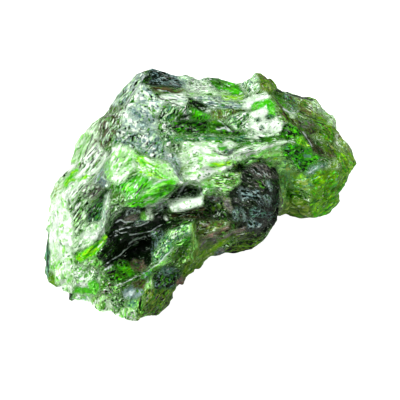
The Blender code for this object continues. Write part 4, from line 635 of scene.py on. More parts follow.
# Thin lines: half width in mm, and the points they run through
# Pale lines along shell edges and ridges, painted as glossy highlights
PALE_HIGHLIGHT_LINES = [
    (0.035, [(-6.9, -2.95), (-6.45, -2.75), (-5.9, -2.6), (-5.3, -2.55), (-4.8, -2.45), (-4.3, -2.25), (-3.9, -2.05)]),
    (0.025, [(-7.0, -3.4), (-6.5, -3.1), (-6.1, -3.0), (-5.6, -3.0)]),
    (0.035, [(-5.6, -3.15), (-5.0, -3.1), (-4.4, -3.0), (-3.8, -2.8), (-3.4, -2.55), (-3.0, -2.35)]),
    (0.035, [(-5.7, -4.0), (-5.5, -3.75), (-5.2, -3.55), (-4.8, -3.45), (-4.3, -3.3), (-3.9, -3.2)]),
    (0.030, [(-5.6, -4.05), (-5.2, -3.9), (-4.9, -3.75)]),
    (0.035, [(-7.45, -5.55), (-7.1, -5.2), (-6.6, -4.95), (-6.2, -4.6), (-5.9, -4.35), (-5.75, -4.25)]),
    (0.030, [(-7.6, -5.95), (-7.0, -5.75)]),
    (0.030, [(-7.3, -5.75), (-6.9, -5.5)]),
    (0.035, [(-6.8, -2.3), (-6.3, -1.95), (-5.9, -2.2), (-5.3, -2.1)]),
    (0.035, [(-5.85, -1.6), (-5.7, -1.2), (-5.3, -1.0)]),
    (0.025, [(-6.7, -7.2), (-6.0, -6.9), (-5.4, -6.65), (-4.9, -6.4), (-4.5, -6.3), (-4.1, -6.1)]),
    (0.040, [(-4.5, -6.3), (-3.8, -5.8), (-3.4, -5.5), (-3.0, -5.15), (-2.7, -4.8), (-2.3, -4.4), (-2.1, -4.15)]),
    (0.055, [(-1.0, 1.0), (-1.45, 0.45), (-1.75, 0.0), (-1.85, -0.25)]),
    (0.045, [(-0.05, 0.7), (0.05, 0.3), (0.2, 0.0)]),
    (0.045, [(-4.75, 9.15), (-4.6, 9.4), (-4.35, 9.7)]),
    (0.050, [(1.3, 5.3), (2.0, 5.3), (2.6, 5.05)]),
    (0.035, [(1.4, 6.0), (1.9, 5.65), (2.4, 5.2)]),
    (0.045, [(-3.8, 0.75), (-3.3, 1.0), (-2.8, 1.2), (-2.2, 1.25)]),
    (0.015, [(6.4, 4.15), (7.0, 4.3), (7.6, 4.15)]),
    (0.055, [(6.6, 6.9), (7.0, 6.65), (7.5, 6.55), (7.9, 6.75)]),
    (0.040, [(8.2, 5.1), (8.6, 4.5), (8.95, 3.9)]),
    (0.040, [(8.6, 1.75), (9.2, 2.0), (9.8, 2.3)]),
    (0.040, [(-8.1, -4.15), (-7.6, -3.65)]),
    (0.040, [(-5.9, 7.3), (-5.6, 7.9), (-5.15, 8.5), (-4.7, 8.95)]),
]
# Dark lines: cracks, and painted shadow lines under ledges and recessed edges
DARK_CRACK_AND_SHADOW_LINES = [
    (0.060, [(-6.0, 6.9), (-5.75, 7.5), (-5.45, 8.1), (-5.0, 8.65), (-4.6, 9.0)]),
    (0.060, [(-4.2, 8.9), (-3.3, 8.75), (-2.2, 8.75), (-1.5, 8.65)]),
    (0.060, [(-3.6, 8.15), (-3.1, 7.7), (-2.6, 7.6), (-1.9, 7.65)]),
    (0.035, [(-2.9, 7.5), (-2.1, 7.3), (-1.5, 7.05)]),
    (0.090, [(6.2, 8.45), (7.0, 8.2), (8.0, 7.95), (9.1, 7.7)]),
    (0.050, [(-9.15, 3.2), (-8.95, 3.9), (-8.7, 4.5), (-8.6, 4.9)]),
    (0.040, [(-8.2, -4.0), (-7.7, -3.55)]),
    (0.045, [(-5.9, -1.0), (-4.5, -1.05), (-3.4, -0.6), (-2.7, -0.15), (-2.0, 0.45), (-1.75, 0.85)]),
    (0.040, [(1.0, 3.5), (1.6, 3.2), (2.2, 3.05)]),
    (0.050, [(7.0, 2.2), (7.6, 2.6), (8.1, 2.9)]),
    (0.050, [(8.25, 1.9), (7.9, 2.3), (7.7, 2.8)]),
    (0.050, [(-7.0, -0.9), (-6.5, -0.75), (-6.0, -0.45)]),
    (0.045, [(-7.3, 3.0), (-7.0, 3.5)]),
    (0.045, [(3.7, 6.65), (3.0, 6.75), (2.2, 6.95)]),
    (0.050, [(8.0, 6.75), (8.6, 6.35), (9.4, 6.1)]),
    (0.040, [(9.0, 5.95), (9.8, 5.75), (10.6, 5.4)]),
    (0.060, [(-12.25, -3.2), (-12.25, -4.6), (-12.2, -6.2)]),
]

# Share that each finish covers in the seams between the panes
SEAM_COVER = {
    "leaf": 0.70, "moss": 0.36, "sage": 0.15, "umber": 0.25, "frost_and_highlight": 0.25, "black_and_shade": 0.30,
}
# Share of the unseen sides that each finish covers, before the grain breaks it up
UNSEEN_COVER = {
    "leaf": 0.62, "moss": 0.30, "olive": 0.26, "sage": 0.16, "teal": 0.24, "shine_through_green": 0.36,
    "lime": 0.14, "rust": 0.08, "umber": 0.20, "taupe": 0.16, "steel_reflection": 0.22, "pearl_and_reflection": 0.20,
    "mint": 0.30, "frost_and_highlight": 0.28, "snow_and_highlight": 0.12, "black_and_shade": 0.24,
}

# Noise fields that break the finishes up: size in mm, stretch along the grain, seed
FIELDS = {
    "streak": (0.17, 1.4, 1.3),
    "fleck": (0.20, 1.0, 7.9),
    "shard": (0.34, 1.0, 13.1),
    "thread": (0.12, 1.8, 19.7),
    "crumb": (0.18, 1.2, 29.3),
    "grit": (0.17, 1.1, 37.7),
}

# Colour, a second colour that the flecks vary to, roughness, and field
FINISHES = {
    "leaf": ((0.045, 0.260, 0.002), (0.003, 0.055, 0.001), 0.16, "streak"),
    "moss": ((0.150, 0.370, 0.002), (0.045, 0.165, 0.001), 0.20, "streak"),
    "olive": ((0.170, 0.270, 0.025), (0.045, 0.105, 0.006), 0.24, "fleck"),
    "sage": ((0.330, 0.480, 0.085), (0.110, 0.250, 0.018), 0.26, "shard"),
    "teal": ((0.130, 0.350, 0.200), (0.014, 0.110, 0.050), 0.22, "fleck"),
    # Brightest green: the stone's own green, painted as bright as light shining through thin parts
    "shine_through_green": ((0.100, 0.760, 0.002), (0.020, 0.370, 0.001), 0.14, "streak"),
    "lime": ((0.440, 0.900, 0.015), (0.170, 0.680, 0.004), 0.18, "thread"),
    "rust": ((0.400, 0.250, 0.170), (0.140, 0.070, 0.040), 0.42, "shard"),
    "umber": ((0.110, 0.090, 0.030), (0.020, 0.016, 0.006), 0.30, "thread"),
    "taupe": ((0.210, 0.200, 0.180), (0.045, 0.042, 0.042), 0.26, "fleck"),
    # Grey-blue: painted reflection of the room on glassy facets. Pale grey, next: partly pale crushed surface, partly
    # painted reflection of the lights
    "steel_reflection": ((0.240, 0.370, 0.350), (0.050, 0.115, 0.115), 0.20, "shard"),
    "pearl_and_reflection": ((0.540, 0.680, 0.630), (0.170, 0.300, 0.260), 0.34, "streak"),
    "mint": ((0.400, 0.850, 0.210), (0.120, 0.570, 0.045), 0.30, "fleck"),
    # Whites: partly pale crushed surface, partly painted reflection of the lights
    "frost_and_highlight": ((0.800, 0.930, 0.760), (0.370, 0.680, 0.290), 0.42, "streak"),
    "snow_and_highlight": ((0.950, 0.980, 0.940), (0.680, 0.870, 0.650), 0.50, "shard"),
    # Near-black: partly the stone's own deep green where it is thick, partly painted shade in hollows, gaps and cracks
    # and on faces turned from the light, and painted dark reflection of the room
    "black_and_shade": ((0.003, 0.010, 0.002), (0.001, 0.003, 0.001), 0.10, "thread"),
    "pit": ((0.100, 0.360, 0.030), (0.012, 0.100, 0.008), 0.20, "crumb"),
    # Glints: white specks painted as highlights of the lights
    "glint_highlight": ((0.820, 0.940, 0.820), (0.440, 0.660, 0.430), 0.40, "grit"),
}
# Specks that lie everywhere, and their share; the glints among them are painted highlights
SPECKS = {"pit": 0.17, "glint_highlight": 0.0}
BASE_GREEN = (0.030, 0.170, 0.015)
MOST_COVER = 0.86


def picture_frame(points):
    """Points of the part, in metres, as picture x, y, d in millimetres."""
    x = (points[:, 0] + CENTRING[0]) / SCALE
    back = (points[:, 1] + CENTRING[1]) / SCALE
    height = points[:, 2] / SCALE + FLOOR_D_MM * math.sin(VIEW_TILT)
    sine, cosine = math.sin(VIEW_TILT), math.cos(VIEW_TILT)
    return np.stack([x, back * sine + height * cosine, height * sine - back * cosine], axis=1)


def part_frame(x, y, d):
    """A picture point in millimetres as a point of the part in metres."""
    sine, cosine = math.sin(VIEW_TILT), math.cos(VIEW_TILT)
    height = y * cosine + (d - FLOOR_D_MM) * sine
    back = y * sine - d * cosine
    return Vector((x * SCALE - CENTRING[0], back * SCALE - CENTRING[1], height * SCALE))


def towards(x, y, d):
    """A direction of the picture frame in the part's frame."""
    sine, cosine = math.sin(VIEW_TILT), math.cos(VIEW_TILT)
    return Vector((x, y * sine - d * cosine, y * cosine + d * sine)).normalized()


def mixed(cells, seed):
    """Four numbers from 0 to 1 for each whole-numbered cell, always the same for one seed."""
    cells = cells.astype(np.int64).astype(np.uint32)
    key = cells[:, 0] * np.uint32(73856093) ^ cells[:, 1] * np.uint32(19349663)
    key ^= cells[:, 2] * np.uint32(83492791) ^ np.uint32(seed * 2654435 + 17)
    numbers = []
    for _ in range(4):
        key = (key ^ (key >> np.uint32(15))) * np.uint32(2246822519)
        key = (key ^ (key >> np.uint32(13))) * np.uint32(3266489917)
        numbers.append((key & np.uint32(0xFFFFFF)) / float(0xFFFFFF))
    return np.stack(numbers, axis=1)


def along_the_grain(drawn):
    """Picture x, y, d straightened out: the way round the arch, out from its middle, and d."""
    x, y, d = drawn.T
    x, y = x - ARCH_CENTRE[0], y - ARCH_CENTRE[1]
    return np.stack([np.arctan2(x, y) * ARCH_RADIUS, np.hypot(x, y), d], axis=1)


def nearest_cell(grained, size, stretch, seed):
    """Each point's cell: its way from the cell's seed, and the cell's four random numbers.

    The cells are the nearest of jittered seeds, one to each box of a lattice of that size
    that is stretched along the grain.
    """
    squeezed = grained / (size * np.array([stretch, 1.0, 1.0]))
    base = np.floor(squeezed)
    nearest = np.full(len(grained), np.inf)
    way = np.zeros((len(grained), 3))
    cell = np.zeros((len(grained), 3))
    steps = np.array(np.meshgrid([-1, 0, 1], [-1, 0, 1], [-1, 0, 1])).reshape(3, -1).T
    for step in steps:
        offset = squeezed - (base + step + mixed(base + step, seed)[:, :3])
        away = (offset**2).sum(axis=1)
        closer = away < nearest
        nearest[closer] = away[closer]
        way[closer] = offset[closer]
        cell[closer] = (base + step)[closer]
    return way, mixed(cell, seed + 7)


def facets(grained, size, depth, stretch, seed):
    """How far each point is cut in: every cell is one flat chip, tilted at random.

    The cut is depth times (a random level + the way from the cell's seed along a random tilt).
    """
    way, random = nearest_cell(grained, size, stretch, seed)
    return depth * (random[:, 3] + (way * (random[:, :3] * 2 - 1)).sum(axis=1))


def wander(points, size, seed):
    """Smooth noise from -1 to 1: three random numbers at each lattice corner, eased between."""
    scaled = points / size
    base = np.floor(scaled)
    part = scaled - base
    part = part * part * (3 - 2 * part)
    value = np.zeros((len(points), 3))
    for corner in np.ndindex(2, 2, 2):
        weight = np.prod(np.where(np.array(corner), part, 1 - part), axis=1)
        value += weight[:, None] * mixed(base + np.array(corner), seed)[:, :3]
    return value * 2 - 1


def eased(values, low, high):
    """0 below low, 1 above high, and an S-curve between."""
    share = np.clip((values - low) / (high - low), 0, 1)
    return share * share * (3 - 2 * share)


def points_and_normals(mesh):
    """Both as (count, 3) arrays."""
    points = np.empty(len(mesh.vertices) * 3)
    normals = np.empty(len(mesh.vertices) * 3)
    mesh.vertices.foreach_get("co", points)
    mesh.vertices.foreach_get("normal", normals)
    return points.reshape(-1, 3), normals.reshape(-1, 3)


def neighbours_mean(mesh, values):
    """Each vertex's mean of the values at the other ends of its edges."""
    ends = np.empty(len(mesh.edges) * 2, np.int32)
    mesh.edges.foreach_get("vertices", ends)
    one, other = ends.reshape(-1, 2).T
    count = len(mesh.vertices)
    number = np.bincount(one, minlength=count) + np.bincount(other, minlength=count)
    columns = []
    for column in values.T:
        there = np.bincount(one, column[other], count) + np.bincount(other, column[one], count)
        columns.append(there / np.maximum(number, 1))
    return np.stack(columns, axis=1)


def sharp_edges(mesh, points, normals):
    """How far each point stands proud of its surroundings, in mm: crests over 0, creases under."""
    smooth = points
    for _ in range(6):
        smooth = neighbours_mean(mesh, smooth)
    return ((points - smooth) * normals).sum(axis=1) * 1000


def set_attribute(mesh, name, values):
    """Stores one number, or three, for each vertex."""
    kind, field = ("FLOAT", "value") if values.ndim == 1 else ("FLOAT_VECTOR", "vector")
    attribute = mesh.attributes.new(name, kind, "POINT")
    attribute.data.foreach_set(field, values.astype(np.float32).ravel())


def broken(drawn):
    """Picture x and y shaken so that a patch gets an angular rim, and a share's random factor.

    Every cell of two lattices moves as one piece, which gives straight rims along the grain.
    """
    grained = along_the_grain(drawn)
    _, large = nearest_cell(grained, 0.55, 2.6, 81)
    _, small = nearest_cell(grained, 0.26, 2.0, 83)
    shaken = drawn + wander(drawn, 0.9, 5) * 0.10
    shaken += (large[:, :3] - 0.5) * 0.42 + (small[:, :3] - 0.5) * 0.22
    return shaken[:, :2], 0.80 + 0.30 * large[:, 3] + 0.12 * small[:, 3]


def inside(x, y, corners):
    """How far inside a polygon each point is, in mm: under 0 outside it.

    The nearest side gives the distance, and an odd number of sides crossed gives the sign.
    """
    least = np.full(len(x), np.inf)
    odd = np.zeros(len(x), bool)
    for (ax, ay), (bx, by) in zip(corners, corners[1:] + corners[:1]):
        length = (bx - ax) ** 2 + (by - ay) ** 2
        share = np.clip(((x - ax) * (bx - ax) + (y - ay) * (by - ay)) / length, 0, 1)
        least = np.minimum(least, np.hypot(x - ax - share * (bx - ax), y - ay - share * (by - ay)))
        if ay != by:
            odd ^= ((ay > y) != (by > y)) & (x < ax + (y - ay) * (bx - ax) / (by - ay))
    return np.where(odd, least, -least)


def off_the_lines(x, y, line_list):
    """Each point's distance in mm from the nearest line of a list, less that line's half width."""
    least = np.full(len(x), 9.0)
    for width, points in line_list:
        for (ax, ay), (bx, by) in zip(points, points[1:]):
            length = (bx - ax) ** 2 + (by - ay) ** 2
            share = np.clip(((x - ax) * (bx - ax) + (y - ay) * (by - ay)) / length, 0, 1)
            away = np.hypot(x - ax - share * (bx - ax), y - ay - share * (by - ay))
            least = np.minimum(least, away - width)
    return least


def lay_panes(drawn, factor, facing, covers, grain):
    """Changes the covers inside each pane to the pane's own, and turns the grain to its streaks.

    A pane's rim is soft and a little shaken, and the grain changes at it at once.
    """
    shaken = drawn[:, :2] + wander(drawn, 0.35, 9)[:, :2] * 0.10
    shaken += wander(drawn, 0.15, 21)[:, :2] * 0.06
    x, y = shaken.T
    for number, (label, (corners, turn, stretch, shares)) in enumerate(PANES.items()):
        depth = inside(x, y, corners)
        weight = eased(depth, -0.15, 0.15) * facing
        for name in covers:
            kept = covers[name] * (1 - weight)
            covers[name] = kept + weight * factor * shares.get(name, SPECKS.get(name, 0.0))
        cosine, sine = math.cos(math.radians(turn)), math.sin(math.radians(turn))
        along = (drawn[:, 0] * cosine + drawn[:, 1] * sine) / stretch
        across = drawn[:, 1] * cosine - drawn[:, 0] * sine
        there = (depth > 0) & (facing > 0.5)
        place = np.stack([along, across, drawn[:, 2] + 3.0 * number], axis=1)
        grain[there] = place[there] / COARSE_PANES.get(label, 1.0)


def cover(drawn, factor, facing, name):
    """The share of the surface that one finish covers at each point, before the panes.

    It is a constant share on the viewer's side. On the unseen sides it swells and fades
    along the grain.
    """
    if name in SPECKS:
        return SPECKS[name] * factor
    seen = np.minimum(SEAM_COVER.get(name, 0.0) * factor, MOST_COVER)
    grained = along_the_grain(drawn) / np.array([3.0, 1.0, 1.0])
    number = list(UNSEEN_COVER).index(name)
    swell = wander(grained, 2.0, 101 + 3 * number)[:, 0]
    swell += 0.5 * wander(grained, 0.7, 102 + 3 * number)[:, 1]
    unseen = np.clip(UNSEEN_COVER[name] * factor + 0.75 * swell, 0, MOST_COVER)
    return seen * facing + unseen * (1 - facing)


def ground_colour(covers):
    """The colour under the flecks: the mean of the finishes' colours by their squared covers."""
    total = 0.04 * np.array(BASE_GREEN)
    weight = 0.04
    for name, share in covers.items():
        first, second = np.array(FINISHES[name][0]), np.array(FINISHES[name][1])
        weights = share[:, None] ** 2
        total = total + weights * (0.6 * first + 0.4 * second)
        weight = weight + weights
    return total / weight


def math_node(tree, operation, first, second):
    """Adds a Math node on two sockets or numbers and gives its output."""
    node = tree.nodes.new("ShaderNodeMath")
    node.operation = operation
    for socket, value in zip(node.inputs, (first, second)):
        if isinstance(value, bpy.types.NodeSocket):
            tree.links.new(value, socket)
        else:
            socket.default_value = value
    return node.outputs["Value"]


def mix_node(tree, kind, factor, first, second):
    """Adds a Mix node for colours or numbers and gives its output."""
    node = tree.nodes.new("ShaderNodeMix")
    node.data_type = kind
    place = {"RGBA": 6, "FLOAT": 2}[kind]
    sockets = (node.inputs[0], node.inputs[place], node.inputs[place + 1])
    for socket, value in zip(sockets, (factor, first, second)):
        if isinstance(value, bpy.types.NodeSocket):
            tree.links.new(value, socket)
        elif kind == "RGBA" and socket is not node.inputs[0]:
            socket.default_value = (*value, 1.0)
        else:
            socket.default_value = value
    return node.outputs[{"RGBA": 2, "FLOAT": 0}[kind]]


def scaled(tree, colour, times):
    """A colour multiplied by one number."""
    node = tree.nodes.new("ShaderNodeVectorMath")
    node.operation = "SCALE"
    tree.links.new(colour, node.inputs[0])
    node.inputs["Scale"].default_value = times
    return node.outputs["Vector"]


def ramp_node(tree, value, low, high, most=1.0, least=0.0):
    """least below low, most above high, and an S-curve between."""
    node = tree.nodes.new("ShaderNodeMapRange")
    node.interpolation_type = "SMOOTHSTEP"
    node.inputs["From Min"].default_value = low
    node.inputs["From Max"].default_value = high
    node.inputs["To Min"].default_value = least
    node.inputs["To Max"].default_value = most
    tree.links.new(value, node.inputs["Value"])
    return node.outputs["Result"]


def attribute_node(tree, name, output="Fac"):
    """The stored numbers of one attribute."""
    node = tree.nodes.new("ShaderNodeAttribute")
    node.attribute_name = name
    return node.outputs[output]


def new_group(name, inputs, outputs):
    """An empty node group with number sockets of these names."""
    group = bpy.data.node_groups.new(name, "ShaderNodeTree")
    for label in inputs:
        group.interface.new_socket(name=label, in_out="INPUT", socket_type="NodeSocketFloat")
    for label in outputs:
        group.interface.new_socket(name=label, in_out="OUTPUT", socket_type="NodeSocketFloat")
    return group, group.nodes.new("NodeGroupInput"), group.nodes.new("NodeGroupOutput")


def grain_place(group, entry):
    """The grain attribute divided by Size, and by Size times Stretch along it, plus Seed."""
    length = math_node(group, "MULTIPLY", entry.outputs["Size"], entry.outputs["Stretch"])
    cell = group.nodes.new("ShaderNodeCombineXYZ")
    group.links.new(length, cell.inputs["X"])
    group.links.new(entry.outputs["Size"], cell.inputs["Y"])
    group.links.new(entry.outputs["Size"], cell.inputs["Z"])
    scaled = group.nodes.new("ShaderNodeVectorMath")
    scaled.operation = "DIVIDE"
    group.links.new(attribute_node(group, "grain", "Vector"), scaled.inputs[0])
    group.links.new(cell.outputs["Vector"], scaled.inputs[1])
    moved = group.nodes.new("ShaderNodeVectorMath")
    moved.operation = "ADD"
    group.links.new(scaled.outputs["Vector"], moved.inputs[0])
    group.links.new(entry.outputs["Seed"], moved.inputs[1])
    return moved.outputs["Vector"]


def field_group():
    """Node group: a field from 0 to 1 of streaks and shards along the grain.

    It adds a fine noise to the random levels of large and small Voronoi cells. Tone is
    another random level of the cells, for changes of colour.
    """
    group, entry, leave = new_group("grain_field", ("Size", "Stretch", "Seed"), ("Field", "Tone"))
    place = grain_place(group, entry)
    fine = group.nodes.new("ShaderNodeTexNoise")
    fine.inputs["Scale"].default_value = 1.0
    fine.inputs["Detail"].default_value = 4.0
    fine.inputs["Roughness"].default_value = 0.65
    group.links.new(place, fine.inputs["Vector"])
    levels = []
    for scale in (0.9, 2.3):
        cells = group.nodes.new("ShaderNodeTexVoronoi")
        cells.inputs["Scale"].default_value = scale
        group.links.new(place, cells.inputs["Vector"])
        split = group.nodes.new("ShaderNodeSeparateColor")
        group.links.new(cells.outputs["Color"], split.inputs["Color"])
        levels.append(split)
    noise = ramp_node(group, fine.outputs["Fac"], 0.28, 0.72)
    large = math_node(group, "MULTIPLY", levels[0].outputs["Red"], 0.46)
    small = math_node(group, "MULTIPLY", levels[1].outputs["Red"], 0.30)
    total = math_node(group, "MULTIPLY", noise, 0.24)
    total = math_node(group, "ADD", total, large)
    total = math_node(group, "ADD", total, small)
    group.links.new(ramp_node(group, total, 0.10, 0.90), leave.inputs["Field"])
    tone = mix_node(group, "FLOAT", 0.5, levels[0].outputs["Green"], levels[1].outputs["Green"])
    group.links.new(tone, leave.inputs["Tone"])
    return group


def facet_group():
    """Node group: the height of small flat facets, each tilted at random.

    Height is the way from a Voronoi cell's seed along a random tilt.
    """
    group, entry, leave = new_group("small_facets", ("Size", "Stretch", "Seed"), ("Height",))
    place = grain_place(group, entry)
    cells = group.nodes.new("ShaderNodeTexVoronoi")
    cells.inputs["Scale"].default_value = 1.0
    group.links.new(place, cells.inputs["Vector"])
    way = group.nodes.new("ShaderNodeVectorMath")
    way.operation = "SUBTRACT"
    group.links.new(place, way.inputs[0])
    group.links.new(cells.outputs["Position"], way.inputs[1])
    tilt = group.nodes.new("ShaderNodeVectorMath")
    tilt.operation = "SUBTRACT"
    group.links.new(cells.outputs["Color"], tilt.inputs[0])
    tilt.inputs[1].default_value = (0.5, 0.5, 0.5)
    slope = group.nodes.new("ShaderNodeVectorMath")
    slope.operation = "DOT_PRODUCT"
    group.links.new(way.outputs["Vector"], slope.inputs[0])
    group.links.new(tilt.outputs["Vector"], slope.inputs[1])
    group.links.new(slope.outputs["Value"], leave.inputs["Height"])
    return group


def crystal_material():
    """Diopside: every finish laid over the green, in the order of FINISHES, then painted highlight on the crests,
    painted shade in the creases, and the thin pale and dark lines.
    """
    material = bpy.data.materials.new("diopside")
    material.use_nodes = True
    tree = material.node_tree
    shader = tree.nodes["Principled BSDF"]

    field_tree = field_group()
    fields = {}
    for name, (size, stretch, seed) in FIELDS.items():
        node = tree.nodes.new("ShaderNodeGroup")
        node.node_tree = field_tree
        for label, value in (("Size", size), ("Stretch", stretch), ("Seed", seed)):
            node.inputs[label].default_value = value
        fields[name] = node

    colour, rough = attribute_node(tree, "ground", "Vector"), 0.18
    for name, (first, second, roughness, field) in FINISHES.items():
        total = math_node(tree, "ADD", attribute_node(tree, name), fields[field].outputs["Field"])
        mask = ramp_node(tree, total, 0.98, 1.02)
        tone = mix_node(tree, "RGBA", ramp_node(tree, fields[field].outputs["Tone"], 0.2, 0.8), first, second)
        colour = mix_node(tree, "RGBA", mask, colour, tone)
        rough = mix_node(tree, "FLOAT", mask, rough, roughness)

    fine = fields["fleck"].outputs["Field"]
    proud = attribute_node(tree, "proud")
    # Crests are lightened: partly pale crushed edges, partly painted highlight
    crest_highlight = math_node(tree, "MULTIPLY", ramp_node(tree, proud, 0.015, 0.050, 0.50), fine)
    colour = mix_node(tree, "RGBA", crest_highlight, colour, scaled(tree, colour, 2.2))
    # Creases are darkened: painted shade
    crease_shade = ramp_node(tree, proud, -0.060, -0.015, 0.0, 0.15)
    colour = mix_node(tree, "RGBA", crease_shade, colour, (0.006, 0.040, 0.006))
    uneven = math_node(tree, "MULTIPLY", fine, 0.06)
    # Dark lines are cracks and painted shadow lines under ledges; pale lines are painted glossy highlights along shell
    # edges and ridges
    for name, shade in (("dark_crack_and_shadow_line", (0.006, 0.020, 0.005)), ("pale_highlight_line", (0.66, 0.76, 0.72))):
        away = math_node(tree, "ADD", attribute_node(tree, name), uneven)
        line = ramp_node(tree, away, 0.015, 0.060, 0.0, 0.90)
        colour = mix_node(tree, "RGBA", line, colour, shade)

    tree.links.new(colour, shader.inputs["Base Color"])
    tree.links.new(rough, shader.inputs["Roughness"])
    shader.inputs["Metallic"].default_value = 0.0
    shader.inputs["IOR"].default_value = 1.68
    shader.inputs["Specular IOR Level"].default_value = 0.08
    shader.inputs["Transmission Weight"].default_value = 0.0

    facet_tree = facet_group()
    heights = []
    for size, stretch, seed in ((0.42, 2.2, 3.1), (0.17, 1.8, 8.3)):
        node = tree.nodes.new("ShaderNodeGroup")
        node.node_tree = facet_tree
        for label, value in (("Size", size), ("Stretch", stretch), ("Seed", seed)):
            node.inputs[label].default_value = value
        heights.append(math_node(tree, "MULTIPLY", node.outputs["Height"], size))
    bump = tree.nodes.new("ShaderNodeBump")
    bump.inputs["Strength"].default_value = 0.30
    bump.inputs["Distance"].default_value = 0.001
    tree.links.new(math_node(tree, "ADD", heights[0], heights[1]), bump.inputs["Height"])
    tree.links.new(bump.outputs["Normal"], shader.inputs["Normal"])
    return material


def fine_stone():
    """The CAD solid divided evenly, chipped along the grain, and given its covers."""
    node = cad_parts["diopside_crystal"]
    mesh = node.data.copy()
    mesh.name = "diopside_fine"
    form = bmesh.new()
    form.from_mesh(mesh)
    bmesh.ops.remove_doubles(form, verts=form.verts, dist=1e-6)
    bmesh.ops.subdivide_edges(form, edges=form.edges, cuts=3, use_grid_fill=True)
    form.to_mesh(mesh)
    form.free()
    mesh.materials.clear()
    stone = bpy.data.objects.new("diopside_fine", mesh)
    bpy.context.scene.collection.objects.link(stone)

    points, normals = points_and_normals(mesh)
    grained = along_the_grain(picture_frame(points))
    cut = sum(facets(grained, *coat) for coat in FINE_COATS)
    cut -= sum(depth for _, depth, *_ in FINE_COATS) / 2
    low, high = np.array(CAD_BOX[0]), np.array(CAD_BOX[1])
    moved = np.clip(points - normals * (cut * SCALE)[:, None], low, high)
    on_rest = points[:, 2] < REST_BAND_MM * 0.001
    moved[on_rest, 2] = 0.0
    mesh.vertices.foreach_set("co", moved.ravel())
    mesh.update()

    points, normals = points_and_normals(mesh)
    drawn = picture_frame(points)
    set_attribute(mesh, "proud", sharp_edges(mesh, points, normals))
    facing = eased(picture_normals(normals)[:, 2], -0.25, 0.05)
    shaken, factor = broken(drawn)
    covers = {name: cover(drawn, factor, facing, name) for name in FINISHES}
    grain = along_the_grain(drawn) / np.array([2.2, 1.3, 1.3])
    lay_panes(drawn, factor, facing, covers, grain)
    set_attribute(mesh, "grain", grain)
    line = drawn[:, :2] + wander(drawn, 0.3, 15)[:, :2] * 0.05
    behind = 9.0 * (1 - facing)
    set_attribute(mesh, "pale_highlight_line", off_the_lines(*line.T, PALE_HIGHLIGHT_LINES) + behind)
    set_attribute(mesh, "dark_crack_and_shadow_line", off_the_lines(*line.T, DARK_CRACK_AND_SHADOW_LINES) + behind)
    for name, share in covers.items():
        set_attribute(mesh, name, share)
    set_attribute(mesh, "ground", ground_colour(covers))
    mesh.shade_smooth()
    mesh.set_sharp_from_angle(angle=math.radians(12.0))
    mesh.materials.append(crystal_material())
    print("fine stone:", len(mesh.polygons), "faces")
    return stone


def picture_normals(normals):
    """Directions of the part's frame in the picture frame."""
    x, y, z = normals.T
    sine, cosine = math.sin(VIEW_TILT), math.cos(VIEW_TILT)
    return np.stack([x, y * sine + z * cosine, z * sine - y * cosine], axis=1)


def softbox(name, way, distance, width, height, power, colour=(1.0, 1.0, 1.0)):
    """An area light at that distance along a picture direction, turned to the stone."""
    light = bpy.data.lights.new(name, "AREA")
    light.shape = "RECTANGLE"
    light.size = width
    light.size_y = height
    light.energy = power
    light.color = colour
    lamp = bpy.data.objects.new(name, light)
    lamp.location = Vector((0.0, 0.0, 0.004)) + towards(*way) * distance
    lamp.rotation_mode = "QUATERNION"
    lamp.rotation_quaternion = towards(*way).to_track_quat("Z", "Y")
    bpy.context.scene.collection.objects.link(lamp)


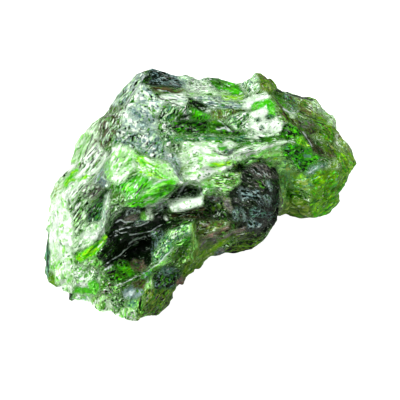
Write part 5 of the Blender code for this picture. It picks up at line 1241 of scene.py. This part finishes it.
def studio():
    """White table, soft lights, a grey room, and the camera."""
    material = bpy.data.materials.new("white_table")
    material.use_nodes = True
    shader = material.node_tree.nodes["Principled BSDF"]
    shader.inputs["Base Color"].default_value = (0.6, 0.6, 0.6, 1.0)
    shader.inputs["Roughness"].default_value = 0.9
    shader.inputs["Specular IOR Level"].default_value = 0.0
    shader.inputs["Emission Color"].default_value = (1.0, 1.0, 1.0, 1.0)
    path = material.node_tree.nodes.new("ShaderNodeLightPath")
    material.node_tree.links.new(path.outputs["Is Camera Ray"], shader.inputs["Emission Strength"])
    half = 0.6
    corners = [(-half, -half, 0), (half, -half, 0), (half, half, 0), (-half, half, 0)]
    mesh = bpy.data.meshes.new("table_top")
    mesh.from_pydata(corners, [], [(0, 1, 2, 3)])
    mesh.materials.append(material)
    table = bpy.data.objects.new("table_top", mesh)
    table.location.z = -0.00005
    bpy.context.scene.collection.objects.link(table)

    softbox("key", (-0.52, 0.42, 0.74), 0.40, 0.26, 0.26, 1.72)
    softbox("back", (0.45, 0.85, 0.10), 0.36, 0.22, 0.08, 0.45)
    softbox("left", (-0.80, -0.45, 0.40), 0.40, 0.20, 0.20, 0.30)
    softbox("fill", (0.62, -0.15, 0.77), 0.40, 0.20, 0.20, 0.30)

    world = bpy.data.worlds.new("room")
    world.use_nodes = True
    background = world.node_tree.nodes["Background"]
    background.inputs["Color"].default_value = (0.96, 0.98, 1.0, 1.0)
    path = world.node_tree.nodes.new("ShaderNodeLightPath")
    shown = math_node(world.node_tree, "MULTIPLY", path.outputs["Is Camera Ray"], 1.0 - ROOM_LIGHT)
    strength = math_node(world.node_tree, "ADD", shown, ROOM_LIGHT)
    world.node_tree.links.new(strength, background.inputs["Strength"])
    bpy.context.scene.world = world

    scene = bpy.context.scene
    scene.view_settings.view_transform = "Standard"
    scene.view_settings.look = "None"

    lens = bpy.data.cameras.new("camera")
    lens.lens = LENS_MM
    lens.sensor_width = SENSOR_MM
    lens.clip_start = 0.01
    camera = bpy.data.objects.new("camera", lens)
    distance = PHOTO_WIDTH_MM * SCALE * LENS_MM / SENSOR_MM
    camera.location = part_frame(*PHOTO_MIDDLE_MM, 0.5) + towards(0, 0, 1) * distance
    camera.rotation_mode = "QUATERNION"
    camera.rotation_quaternion = towards(0, 0, 1).to_track_quat("Z", "Y")
    bpy.context.scene.collection.objects.link(camera)
    bpy.context.scene.camera = camera


def main():
    stone = fine_stone()
    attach(stone, "root")
    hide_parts("diopside_crystal")
    studio()


main()
